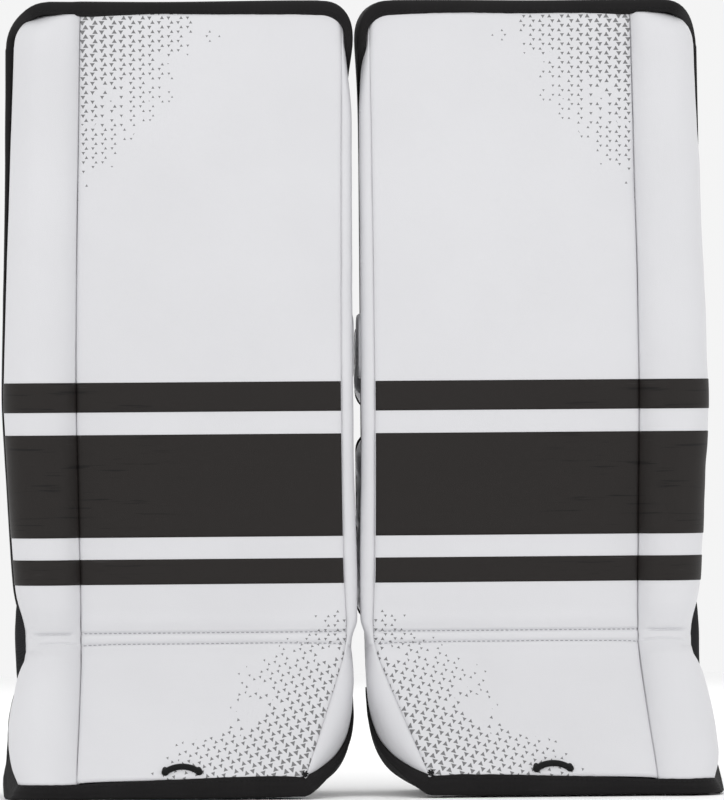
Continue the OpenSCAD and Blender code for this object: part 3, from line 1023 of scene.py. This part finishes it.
def toe_path(roll_rows):
    """Border between the white boot and its black band, as four runs of points.

    Both pads take it from the same stand-in pad, so their bands run alike."""
    both = Pad("both", 1, 0)
    inner = [gusset_edge(t) for t in spread(0.19, 0.97, 34)]
    toe = []
    for x in spread(52, 221, 50):
        s = boot_end(x, 0)
        toe.append(on_front(s, x, face_d(both, s, x)))
    roll = roll_rows[-1][2:]
    up = [row[-1] for row in reversed(roll_rows) if row[-1][2] < 104][1:]
    return inner, toe, roll, up


def make_toe_band(pad, roll_rows):
    """The black binding round the boot: up both sides, and wide enough to be the sole band."""
    inner, toe, roll, up = toe_path(roll_rows)
    path = inner + toe + roll + up
    first_toe, last_toe = len(inner), len(inner) + len(toe) + len(roll)
    frames = []
    for i, p in enumerate(path):
        p = Vector(p)
        thick = 1.0
        if i < first_toe:
            t = i / first_toe
            thick = mix(0.1, 1.0, ease(t / 0.35))
            low = ease((t - 0.25) / 0.6)
            width = mix(2.2, 10.5, low) * mix(0.25, 1.0, ease(t / 0.2))
            width = mix(width, p.z - 1.5, ease((t - 0.68) / 0.3))
            out = Vector((-1, 0.2, -0.15)).lerp(Vector((-0.55, -0.25, -1.0)), low).normalized()
            face = Vector((-0.6, -0.6, 0.15)).lerp(Vector((-0.5, -0.9, 0.15)), low).normalized()
            back = Vector((0.1, 0.6, -0.8)).lerp(Vector((0.1, 1.0, 0.0)), low).normalized()
            reach = mix(8, 24, low) * thick
        elif i < last_toe:
            turn = ease((i - (last_toe - len(roll) + 10)) / (len(roll) - 12))
            out = Vector((0.55 * turn, 0.05, -1.0)).normalized()
            face = Vector((turn, -(1 - turn), 0.1)).normalized()
            width = p.z - 1.0
            back = Vector((-turn, 1 - 0.6 * turn, 0)).normalized()
            reach = 40 - 14 * turn
        else:
            t = (i - last_toe) / max(len(up) - 1, 1)
            high = ease(t / 0.14)
            thick = mix(1.0, 0.15, high)
            width = mix(13, 3.4, high)
            out = Vector((0.5, 0.4, -1.0)).lerp(Vector((-0.35, 1, -0.2)), high).normalized()
            face = Vector((1, -0.2, 0.1)).normalized()
            back = Vector((-0.8, 0.6, 0)).lerp(Vector((-1, 0.3, -0.1)), high).normalized()
            reach = mix(20, 7, high)
        frames.append((out, face * thick, back, width, reach))
    rows = []
    for i, p in enumerate(path):
        p = Vector(p)
        near = frames[max(i - 5, 0):i + 6]
        out, face, back, width, reach = (sum((f[k] for f in near[1:]), near[0][k]) / len(near)
                                         for k in range(5))
        ragged = 0.35 * pad.wave(p.x, p.y, p.z, 6)
        crease = 0.5 * pad.wave(p.x, 1, p.z, 30)
        low_point = p + out * width
        low_point.z = max(low_point.z, 0.6)
        loop = [p - out * (0.9 + ragged) + face * 0.1,
                p + face * 0.9,
                p + out * 0.22 * width + face * 1.7,
                p + out * 0.48 * width + face * (2.3 + crease),
                p + out * 0.62 * width + face * (1.5 + crease),
                p + out * 0.72 * width + face * (2.3 + crease),
                p.lerp(low_point, 0.92) + face * 1.4,
                low_point + face * -0.6,
                low_point + back * reach * 0.35,
                low_point + back * reach,
                p - face * 3.0 + back * reach,
                p - face * 3.0]
        rows.append([(q.x, q.y, max(q.z, 0.2)) for q in loop])
    band = paint(surface(pad, "toe_band", rows, closed=True, caps=True), BINDING)
    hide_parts(pad.name("toe_rim"))
    ride(pad, band, "boot")
    trim = [tuple(Vector(row[1]).lerp(Vector(row[2]), 0.6) + Vector((0, -0.3, 0)))
            for row in rows[first_toe:last_toe - 12]]
    ride(pad, paint(stitches(pad, "toe_stitches", trim, (0, -1, 0), 4.0, 2.2, 0.4), BLACK_THREAD),
         "boot")


# ---- back of the pad ----

def make_back_panel(pad):
    rows = []
    for z in spread(TOP_Z - 2, 127.5, 110):
        s = BREAK_Z - z
        left, right = inner_x(s) + 1.5, outer_x(s) - 1.5
        row = []
        for x in spread(right, left, 60):
            quilt = ease(4 * (x - left) / (right - left)) * ease(4 * (right - x) / (right - left))
            row.append((x, 21.0 + quilt * 0.6 + 0.5 * pad.wave(x, 2, z, 34), z))
        rows.append(row)
    panel = paint(shell(surface(pad, "back_cloth", rows), 1.5), NYLON)
    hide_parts(pad.name("back_panel"))
    ride(pad, panel, "shin")


def make_break_lining(pad):
    """Black padded cloth behind the boot break, from the back panel to the back of the boot."""
    loop = [(18.5, 136), (21.3, 133), (21.0, 124), (17, 115), (11, 106), (5, 99), (-2, 95), (-6, 98),
            (-5, 104), (0, 111), (3, 119), (4, 128), (6, 136)]
    rows = []
    for x in joined(spread(6.8, 10, 4), spread(10, 258, 60), spread(258, 262.5, 6)):
        shrink = 1 - 0.35 * ease((x - 259) / 8) - 0.2 * ease((9 - x) / 3)
        row = []
        for y, z in loop:
            wave = 0.8 * pad.wave(x, y, z, 16)
            row.append((x, 8 + (y - 8) * shrink + wave, 116 + (z - 116) * mix(1, shrink, 0.3)))
        rows.append(row)
    lining = paint(surface(pad, "break_lining", rows, closed=True, caps=True), NYLON)
    fold(pad, lining)
    side = []
    for s in spread(-56, 42, 50):
        row = []
        for k, d in enumerate(spread(-13, -44, 14)):
            swell = 1.6 * math.sin(math.pi * k / 13)
            bulge = 2.6 * bump((s + 8) / 26)
            x = mix(249, 262.4, ease(k / 4)) + swell + bulge + 0.6 * pad.wave(s, d, 1, 12)
            row.append(on_front(s, x, d))
        side.append(row)
    patch = paint(shell(surface(pad, "break_side", side), 1.4), NYLON)
    fold(pad, patch)


def make_boot_lining(pad):
    """Padded cloth over the back and the underside of the boot."""
    rows = []
    shape = dense(rounded(0, 240, -41.5, -17, 7), 9, True)
    for t in spread(4, 108, 40):
        edge = gusset_edge(t / BOOT_LEN)[0] + 1.5
        row = []
        for across, d in shape:
            left = edge + max(inner_seam(t) - edge, 0) * ease((d + 38) / 38)
            x = mix(left, 262.0, across / 240)
            swell = 0.8 * pad.wave(x, d, t, 26) if d < -20 else 0.0
            p = on_front(t, x, d + swell)
            row.append((p[0], p[1], max(p[2], 1.4)))
        rows.append(row)
    lining = paint(surface(pad, "boot_lining", rows, closed=True, caps=True), NYLON)
    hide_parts(pad.name("boot_core"))
    ride(pad, lining, "boot")


# ---- padded pieces ----

def prism(pad, piece, outline, low, high, axis):
    """A closed block: outline points in the plane across the axis, from low to high along it."""
    def place(a, b, c):
        return {"x": (c, a, b), "y": (a, c, b)}[axis]
    count = len(outline)
    verts = [pad.point(place(a, b, c)) for c in (low, high) for a, b in outline]
    faces = [[i, (i + 1) % count, count + (i + 1) % count, count + i] for i in range(count)]
    faces += [list(range(count)), list(range(count, 2 * count))]
    mesh = bpy.data.meshes.new(pad.name(piece))
    mesh.from_pydata(verts, [], faces)
    obj = link(bpy.data.objects.new(pad.name(piece), mesh))
    fix_normals(obj)
    return obj


def softened(obj, voxel, bevel):
    """Rounds a block's edges and gives it an even mesh."""
    edge = obj.modifiers.new("edges", "BEVEL")
    edge.width = bevel * MM
    edge.segments = 4
    edge.angle_limit = math.radians(50)
    net = obj.modifiers.new("net", "REMESH")
    net.mode = "VOXEL"
    net.voxel_size = voxel * MM
    even = obj.modifiers.new("even", "SMOOTH")
    even.iterations = 3
    even.factor = 0.5
    return bake(obj)


def inflate(obj, held, pressure, slack, limit):
    """Blows up the free part of a cover; held(point) tells where it is sewn down."""
    start = [v.co.copy() for v in obj.data.vertices]
    pinned = [i for i, p in enumerate(start) if held(p)]
    group = obj.vertex_groups.new(name="held")
    group.add(pinned, 1.0, "REPLACE")
    cloth = obj.modifiers.new("cloth", "CLOTH")
    cloth.settings.quality = 6
    cloth.settings.mass = 0.25
    cloth.settings.tension_stiffness = 25
    cloth.settings.compression_stiffness = 25
    cloth.settings.bending_stiffness = 0.35
    cloth.settings.use_pressure = True
    cloth.settings.uniform_pressure_force = pressure
    cloth.settings.shrink_min = -slack
    cloth.settings.vertex_group_mass = "held"
    cloth.settings.effector_weights.gravity = 0.0
    cloth.collision_settings.use_collision = False
    cloth.point_cache.frame_start = 1
    cloth.point_cache.frame_end = 20
    for f in range(1, 21):
        bpy.context.scene.frame_set(f)
    bake(obj)
    obj.vertex_groups.clear()
    for v, p in zip(obj.data.vertices, start):
        moved = v.co - p
        if moved.length > limit * MM:
            v.co = p + moved.normalized() * limit * MM
    bpy.context.scene.frame_set(1)
    return finer(obj)


def finer(obj):
    """Splits every face once and smooths the mesh."""
    split = obj.modifiers.new("finer", "SUBSURF")
    split.levels = 1
    return shade(bake(obj))


def loop_path(outline, level):
    return [(a, level, b) for a, b in outline]


def cushion(pad, piece, node, box, corner, material):
    """A padded block sewn to the back panel, with piping round its rear face."""
    x0, x1, z0, z1, y0, y1 = box
    outline = rounded(x0 + 1, x1 - 1, z0 + 1, z1 - 1, corner)
    block = softened(prism(pad, piece, outline, y0, y1 - 1.5, "y"), 4.5, 3.5)
    seam_y = (y1 - 2.2 + SHIFT_Y) * MM
    base_y = (y0 + 3 + SHIFT_Y) * MM
    middle = Vector(((x0 + x1) / 2 * pad.sign * MM, 0, (z0 + z1) / 2 * MM))
    wide, high = (x1 - x0) / 2 * MM, (z1 - z0) / 2 * MM

    def held(p):
        rim = min(wide - abs(p.x - middle.x), high - abs(p.z - middle.z))
        return p.y < base_y or (rim < 0.006 and abs(p.y - seam_y) < 0.004)
    inflate(block, held, 5.0, 0.035, 3.0)
    paint(block, material)
    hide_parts(node)
    ride(pad, block, "shin")
    seam = rounded(x0 + 1.6, x1 - 1.6, z0 + 1.6, z1 - 1.6, corner)
    tube = sweep(pad, f"{piece}_piping", loop_path(dense(seam, 5, True), y1 - 2.6), ring_section(1.5, 8),
                 (0, 1, 0), closed_path=True)
    ride(pad, paint(tube, BINDING), "shin")


def make_leg_channel(pad):
    """Cushions on the back panel: (piece, node, (x0, x1, z0, z1), depth, corner radius, cover)."""
    for piece, node, sides, depth, corner, cover in (
            ("knee_block_pad", "knee_block", (4.5, 92, 297, 372), KNEE_DEPTH, 14, WHITE_LEATHER),
            ("calf_bolster_pad", "calf_bolster", (4.5, 58, 132, 281), BOLSTER_DEPTH, 12, WHITE_LEATHER),
            ("knee_cradle_pad", "knee_cradle", (94, 236, 280, 386), 20, 16, LINER),
            ("shin_cradle_pad", "shin_cradle", (60, 236, 132, 276), 18, 14, LINER),
            ("thigh_lining", "thigh_pad", (34, 238, 404, 586), 12, 20, LINER)):
        cushion(pad, piece, pad.name(node), (*sides, PAD_BACK, PAD_BACK + depth), corner, cover)
    outline = rounded(-15, 22, 322, 374, 12)
    edge = finer(softened(prism(pad, "knee_block_edge", outline, 1.7, 8.4, "x"), 2.0, 2.6))
    ride(pad, paint(edge, WHITE_LEATHER), "shin")
    make_landing_patches(pad)


def make_landing_patches(pad):
    """Loop cloth on the knee block and the bolster, where the straps stick."""
    for n, (x0, x1, z, half, rear) in enumerate(((18, 88, 330, 26, PAD_BACK + KNEE_DEPTH),
                                                 (10, 54, 208, 32, PAD_BACK + BOLSTER_DEPTH))):
        outline = rounded(x0, x1, z - half, z + half, 5)
        patch = softened(prism(pad, f"loop_patch_{n}", outline, rear - 1.2, rear + 1.7, "y"), 1.8, 0.8)
        paint(shade(patch), LOOP)
        ride(pad, patch, "shin")
        if n == 0:
            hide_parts(pad.name("landing_patches"))
        line = dense(rounded(x0 + 2.5, x1 - 2.5, z - half + 2.5, z + half - 2.5, 4), 4, True)
        seam = loop_path(line, rear + 1.8)
        thread = stitches(pad, f"patch_stitches_{n}", seam + seam[:1], (0, 1, 0), 3.6, 2.4, 0.35)
        ride(pad, paint(thread, BLACK_THREAD), "shin")


def turned(p):
    """A point of a wing's own frame (x out of its outer face, y towards its rear) in the pad's."""
    c, s = math.cos(WING_ANGLE), math.sin(WING_ANGLE)
    return (WING_HINGE[0] + p[0] * c - p[1] * s, WING_HINGE[1] + p[0] * s + p[1] * c, p[2])


def make_wing(pad, piece, node, body, zs, corner):
    """A padded flap with round edges and a piping line on each face."""
    rows = []
    count = 28
    for z in joined(spread(zs[0], zs[0] + corner, 14),
                    spread(zs[0] + corner, zs[1] - corner, int((zs[1] - zs[0]) / 4)),
                    spread(zs[1] - corner, zs[1], 14)):
        cut = max(zs[0] + corner - z, z - zs[1] + corner, 0.0)
        inset = corner - math.sqrt(max(corner ** 2 - cut ** 2, 0.0))
        edge = min(z - zs[0], zs[1] - z)
        round_edge = math.sqrt(max(1 - ((WING_R - min(edge, WING_R)) / WING_R) ** 2, 0.0))
        thick = WING_R * round_edge * 0.96 + 0.3
        y0, y1 = -WING_R + inset, WING_DEPTH + WING_R - inset
        r = min(thick, (y1 - y0) / 2 - 1)
        row = []
        for k in range(count):
            a = 2 * math.pi * k / count
            side = math.cos(a)
            end = math.sin(a)
            along = (y1 - r if end > 0 else y0 + r) + end * r
            x = side * thick
            row.append((x, along, z))
        full = []
        for a, b in zip(row, row[1:] + row[:1]):
            gap = math.dist(a, b)
            steps = 12 if gap > 20 else 1
            full += [tuple(mix(p, q, n / steps) for p, q in zip(a, b)) for n in range(steps)]
        rows.append(full)
    longest = max(len(r) for r in rows)
    rows = [r for r in rows if len(r) == longest]
    puffed = []
    for row in rows:
        out = []
        for x, y, z in row:
            flat = ease((y + 2) / 14) * ease((WING_DEPTH + 2 - y) / 14)
            flat *= ease((z - zs[0] - 3) / 14) * ease((zs[1] - 3 - z) / 14)
            swell = 1.6 * flat + 0.8 * flat * pad.wave(x, y, z, 20)
            swell += 0.5 * pad.wave(x * 2, y, z, 9) * flat
            out.append(turned((x + math.copysign(swell, x) if abs(x) > 1 else x, y, z)))
        puffed.append(out)
    wing = paint(surface(pad, piece, puffed, closed=True, caps=True), WHITE_LEATHER)
    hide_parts(node)
    ride(pad, wing, body)
    for n, x in enumerate((-WING_R - 0.1, WING_R + 0.1)):
        outline = dense(rounded(1, WING_DEPTH - 1, zs[0] + 9, zs[1] - 9, corner - 6), 5, True)
        path = [turned((x, a, b)) for a, b in outline]
        tube = sweep(pad, f"{piece}_piping_{n}", path, ring_section(1.1, 8), (1, 0, 0), closed_path=True)
        ride(pad, paint(tube, BINDING), body)
    hinge = [turned((0.0, -WING_R - 0.2, z)) for z in spread(zs[0] + 12, zs[1] - 12, 30)]
    tape = sweep(pad, f"{piece}_hinge_tape", hinge, tape_section(9, 1.6, 0.5), (0, -1, 0))
    ride(pad, paint(tape, BINDING), body)


def strap_path(patch_y, ends):
    """Middle line of a strap in (x, y), from the rear edge of its wing to its free end."""
    pivot = turned((0, WING_DEPTH, 0))
    r = WING_R + 0.8 + 1.5
    landing = (ends[1], patch_y + 0.3 + 1.5)
    rx, ry = landing[0] - pivot[0], landing[1] - pivot[1]
    leave = math.degrees(math.atan2(ry, rx)) + 360 - math.degrees(math.acos(r / math.hypot(rx, ry)))
    arc = [(pivot[0] + r * math.cos(math.radians(a)), pivot[1] + r * math.sin(math.radians(a)))
           for a in spread(88, leave, 5)]
    return arc, landing


def make_strap(pad, piece, node, body, wing_body, strap, patch_y, ends):
    """A strap with its pull tab, and the root that sews it to its wing; strap is (z, width)."""
    z, width = strap
    arc, landing = strap_path(patch_y, ends)
    points = dense(arc + [landing], 6)
    settle = dense([landing, (ends[0], landing[1])], 5)[1:]
    path = [(x, y, z) for x, y in points + settle]
    shaped = []
    for i, (x, y, _) in enumerate(path):
        span = math.sin(math.pi * min(i / max(len(points), 1), 1.0))
        shaped.append((x, y - 0.9 * span, z))
    tapers = [1.0] * (len(shaped) - 3) + [0.97, 0.9, 0.74]
    rows = upright_rows(shaped, tape_section(width, 2.6, 0.9), tapers)
    band = paint(surface(pad, piece, rows, closed=True, caps=True), WEBBING)
    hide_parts(node)
    ride(pad, band, body)
    for n, level in enumerate((-width / 2 + 3, width / 2 - 3)):
        line = [(x, y + 1.35, z + level) for x, y, _ in shaped[1:-3]]
        seam = stitches(pad, f"{piece}_stitches_{n}", line, (0, 1, 0), 4.0, 2.6, 0.35)
        ride(pad, paint(seam, BLACK_THREAD), body)
    tab = [(x, y + 1.9, z) for x, y, _ in shaped[-5:-1]]
    pull = sweep(pad, f"{piece}_pull", dense(tab, 4), tape_section(width * 0.62, 1.3, 0.4), (0, 1, 0))
    ride(pad, paint(pull, NYLON), body)
    start = dense([(WING_R + 0.9, WING_DEPTH - 34), (WING_R + 0.9, WING_DEPTH)], 6)
    curl = [((WING_R + 0.9) * math.cos(math.radians(a)),
             WING_DEPTH + (WING_R + 0.9) * math.sin(math.radians(a))) for a in spread(8, 78, 9)]
    root = [turned((x + 1.4 * ease((WING_DEPTH - 6 - y) / 12), y, z)) for x, y in start + curl]
    tape = upright_rows(root, tape_section(width, 1.4, 0.5))
    sewn = paint(surface(pad, f"{piece}_root", tape, closed=True, caps=True), WEBBING)
    ride(pad, sewn, wing_body)
    box = rounded(WING_DEPTH - 31, WING_DEPTH - 12, z - width / 2 + 4, z + width / 2 - 4, 2)
    path = [turned((WING_R + 3.1, a, b)) for a, b in dense(box, 4, True)]
    c, s = math.cos(WING_ANGLE), math.sin(WING_ANGLE)
    seam = stitches(pad, f"{piece}_box", path + path[:1], (c, s, 0), 3.4, 2.3, 0.4)
    ride(pad, paint(seam, GREY_THREAD), wing_body)


# ---- boot wings, buckle, strap ----

def make_boot_wings(pad):
    """The padded flap on each side behind the boot, with piping along its free edge."""
    profile = [(-40, 20), (-24, 4.5), (66, 2.0), (72.5, 4), (74.5, 10), (74.5, 66), (70, 79),
               (57, 94.5), (42, 105.5), (28, 109.4), (20, 108.5)]
    for n, x in enumerate((52.5, 250.0)):
        block = softened(prism(pad, f"boot_flap_{n}", profile, x - 1.5, x + 8.5, "x"), 3.6, 4.2)
        lo, hi = (x + 0.1) * MM, (x + 6.9) * MM

        def held(p):
            return lo < abs(p.x) < hi or p.z < 0.008 or p.y < -0.03
        inflate(block, held, 4.0, 0.03, 1.6)
        paint(block, NYLON)
        ride(pad, block, "boot")
        if n == 0:
            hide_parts(pad.name("boot_wings"))
        edge = dense(profile[1:], 5)
        path = [(x + 3.5, a + 0.9 * (1 if a > 60 else 0.4), max(b + (0.9 if b > 60 else 0), 2.6))
                for a, b in edge]
        tube = sweep(pad, f"boot_flap_edge_{n}", path, ring_section(2.3, 8), (1, 0, 0))
        ride(pad, paint(tube, BINDING), "boot")


def make_hardware(pad):
    """Buckle, clip and toe bridge from the CAD nodes, and the webbing between the buckle halves."""
    for piece, material, size in (("boot_buckle", BUCKLE, 1.0), ("boot_clip", BUCKLE, 0.8),
                                  ("toe_bridge", BRIDGE, 0.7)):
        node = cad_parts[pad.name(piece)]
        edge = node.modifiers.new("edges", "BEVEL")
        edge.width = size * MM
        edge.segments = 3
        edge.angle_limit = math.radians(35)
        edge.harden_normals = True
        node.data.materials.clear()
        node.data.materials.append(material)
        node.data.shade_smooth()
    z0, z1 = BOOT_STRAP_Z
    middle = (z0 + z1) / 2
    y = BUCKLE_Y + 5.5
    path = dense([(107.2, y, middle), (125, y - 0.1, middle), (200, y - 0.2, middle),
                  (263, y, middle)], 5)
    webbing = sweep(pad, "boot_webbing", path, tape_section(z1 - z0, 2.3, 0.9), (0, 1, 0))
    paint(webbing, WEBBING)
    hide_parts(pad.name("boot_strap"))
    ride(pad, webbing, "boot_strap")
    fold_back = [(121, y + 2.2), (112, y + 2.3), (104, y + 2.7), (101.9, y + 1.2), (101.6, y - 0.6),
                 (102.6, y - 2.2), (107, y - 2.3), (121, y - 2.2)]
    ribbon = upright_rows([(a, b, middle) for a, b in fold_back], tape_section(24, 1.5, 0.5))
    wrap = paint(surface(pad, "webbing_fold", ribbon, closed=True, caps=True), WEBBING)
    ride(pad, wrap, "boot_strap")
    box = dense(rounded(110, 120, z0 + 3, z1 - 3, 1), 3, True)
    seam = [(a, y + 3.1, b) for a, b in box]
    ride(pad, paint(stitches(pad, "webbing_box", seam + seam[:1], (0, 1, 0), 3.0, 2.0, 0.35),
                    GREY_THREAD), "boot_strap")


def make_lace(pad):
    """The braided lace: a loop on the face, two runs through the boot and the bar behind it."""
    half = (LACE_X[1] - LACE_X[0]) / 2
    rise, foot = 5.0, BOOT_LEN - 6.0
    radius = (half * half + rise * rise) / (2 * rise)
    sweep_angle = math.asin(half / radius)
    arch = []
    for a in spread(-sweep_angle, sweep_angle, 25):
        x = LACE_X[0] + half + radius * math.sin(a)
        up = radius * math.cos(a) - radius + rise
        arch.append(on_front(foot - up, x, 3.6))
    path = [(LACE_X[0], LACE_BACK[0], LACE_BACK[1])]
    path.append((arch[0][0], arch[0][1] + 7, arch[0][2] + 2.6))
    path += arch
    path.append((arch[-1][0], arch[-1][1] + 7, arch[-1][2] + 2.6))
    path.append((LACE_X[1], LACE_BACK[0], LACE_BACK[1]))
    path = dense(path, 4)
    loop = sweep(pad, "toe_cord", path, ring_section(LACE_R, 12), (0.05, -0.7, 0.7))
    bar = dense([(LACE_X[0] - 0.5, *LACE_BACK), (LACE_X[1] + 0.5, *LACE_BACK)], 3)
    back = sweep(pad, "toe_cord_bar", bar, ring_section(LACE_R, 12), (0, 0, 1))
    paint(loop, LACE)
    paint(back, LACE)
    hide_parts(pad.name("toe_lace"))
    ride(pad, loop, "boot")
    ride(pad, back, "boot")
    for n, end in enumerate((arch[0], arch[-1])):
        ball = bpy.data.meshes.new(pad.name(f"lace_end_{n}"))
        bm = bmesh.new()
        bmesh.ops.create_uvsphere(bm, u_segments=16, v_segments=10, radius=2.9 * MM)
        bm.to_mesh(ball)
        bm.free()
        obj = link(bpy.data.objects.new(pad.name(f"lace_end_{n}"), ball))
        obj.data.transform(Matrix.Translation(pad.point((end[0], end[1] + 0.3, end[2]))))
        shade(obj)
        ride(pad, paint(obj, LACE), "boot")


def make_bartacks(pad):
    """Three crossed threads that hold the inner corner of the toe."""
    s = 0.985 * boot_end(50, 0) - 0.8
    x = inner_seam(s + 0.8) + 0.6
    for n, (ds, dx) in enumerate(((2.4, 1.4), (2.0, -1.6), (0.3, 2.6))):
        path = [on_front(s - ds, x - dx, 1.6), on_front(s + ds, x + dx, 1.6)]
        tack = sweep(pad, f"bartack_0_{n}", dense(path, 1), ring_section(0.7, 8), (0, -1, 0.3))
        ride(pad, paint(tack, BLACK_THREAD), "boot")


def make_pad(pad):
    make_face(pad)
    roll_rows = make_roll(pad)
    make_gusset(pad)
    make_stripes(pad)
    make_binding(pad)
    make_toe_band(pad, roll_rows)
    make_back_panel(pad)
    make_break_lining(pad)
    make_boot_lining(pad)
    make_leg_channel(pad)
    make_wing(pad, "knee_flap", pad.name("knee_wing"), "knee_wing", KNEE_WING_Z, 16.0)
    make_wing(pad, "calf_flap", pad.name("calf_wing"), "calf_wing", CALF_WING_Z, 18.0)
    make_strap(pad, "knee_band", pad.name("knee_strap"), "knee_strap", "knee_wing", KNEE_STRAP,
               PAD_BACK + KNEE_DEPTH + PATCH, (24, 86))
    make_strap(pad, "calf_band", pad.name("calf_strap"), "calf_strap", "calf_wing", CALF_STRAP,
               PAD_BACK + BOLSTER_DEPTH + PATCH, (14, 52))
    make_boot_wings(pad)
    make_hardware(pad)
    make_lace(pad)
    make_bartacks(pad)


for pad in (Pad("left", -1, 1), Pad("right", 1, 2)):
    make_pad(pad)


# ---- stage ----

CAMERA_LENS = 464.0
CAMERA_DISTANCE = 8.0
CAMERA_LEFT = 4.1           # degrees to the left of straight on
CAMERA_TILT = -0.42         # degrees about the line of sight
CAMERA_TARGET = (0.003, -0.03, 0.306)
FLOOR_RADIUS = 3.5
FLOOR_Z = -0.0004


def plain(name, colour, roughness):
    material = bpy.data.materials.new(name)
    material.use_nodes = True
    shader = material.node_tree.nodes["Principled BSDF"]
    shader.inputs["Base Color"].default_value = (*colour, 1.0)
    shader.inputs["Roughness"].default_value = roughness
    return material


def make_stage():
    """A plain pale floor; the world behind it is just as pale."""
    rim = ring_section(FLOOR_RADIUS, 64)
    mesh = bpy.data.meshes.new("studio_floor")
    mesh.from_pydata([(x, y, FLOOR_Z) for x, y in rim], [], [list(range(len(rim)))])
    floor = link(bpy.data.objects.new("studio_floor", mesh))
    mesh.materials.append(plain("studio_floor", (0.97, 0.97, 0.97), 0.85))


def add_light(name, place, target, size, power):
    data = bpy.data.lights.new(name, "AREA")
    data.shape = "RECTANGLE"
    data.size, data.size_y = size
    data.energy = power
    light = link(bpy.data.objects.new(name, data))
    light.location = place
    light.rotation_euler = (Vector(target) - Vector(place)).to_track_quat("-Z", "Y").to_euler()


def make_lights():
    """Soft lights, each (name, place, size, watts), aimed at the pads' middle height."""
    for name, place, size, watts in (("key", (-1.4, -2.3, 1.9), (1.2, 1.2), 12),
                                     ("fill", (1.9, -2.0, 1.1), (1.4, 1.4), 6.2),
                                     ("top", (0, 0.3, 2.4), (2.2, 1.6), 5),
                                     ("back", (0.5, 2.4, 1.6), (1.6, 1.2), 12)):
        add_light(name, place, (0, 0, 0.3), size, watts)
    world = bpy.data.worlds.new("studio")
    world.use_nodes = True
    world.node_tree.nodes["Background"].inputs["Color"].default_value = (1.0, 1.0, 1.0, 1.0)
    world.node_tree.nodes["Background"].inputs["Strength"].default_value = 0.91
    bpy.context.scene.world = world


def make_camera():
    """A long lens, level with the middle of the pads and a little to their left."""
    data = bpy.data.cameras.new("camera")
    data.lens = CAMERA_LENS
    data.sensor_width = 36.0
    data.clip_end = 50.0
    camera = link(bpy.data.objects.new("camera", data))
    turn = math.radians(CAMERA_LEFT)
    target = Vector(CAMERA_TARGET)
    camera.location = target + Vector((-math.sin(turn), -math.cos(turn), 0.0)) * CAMERA_DISTANCE
    look = (target - camera.location).to_track_quat("-Z", "Y")
    tilt = Matrix.Rotation(math.radians(CAMERA_TILT), 3, "Z")
    camera.rotation_euler = (look.to_matrix() @ tilt).to_euler()
    bpy.context.scene.camera = camera
    bpy.context.scene.view_settings.view_transform = "Standard"


make_stage()
make_lights()
make_camera()
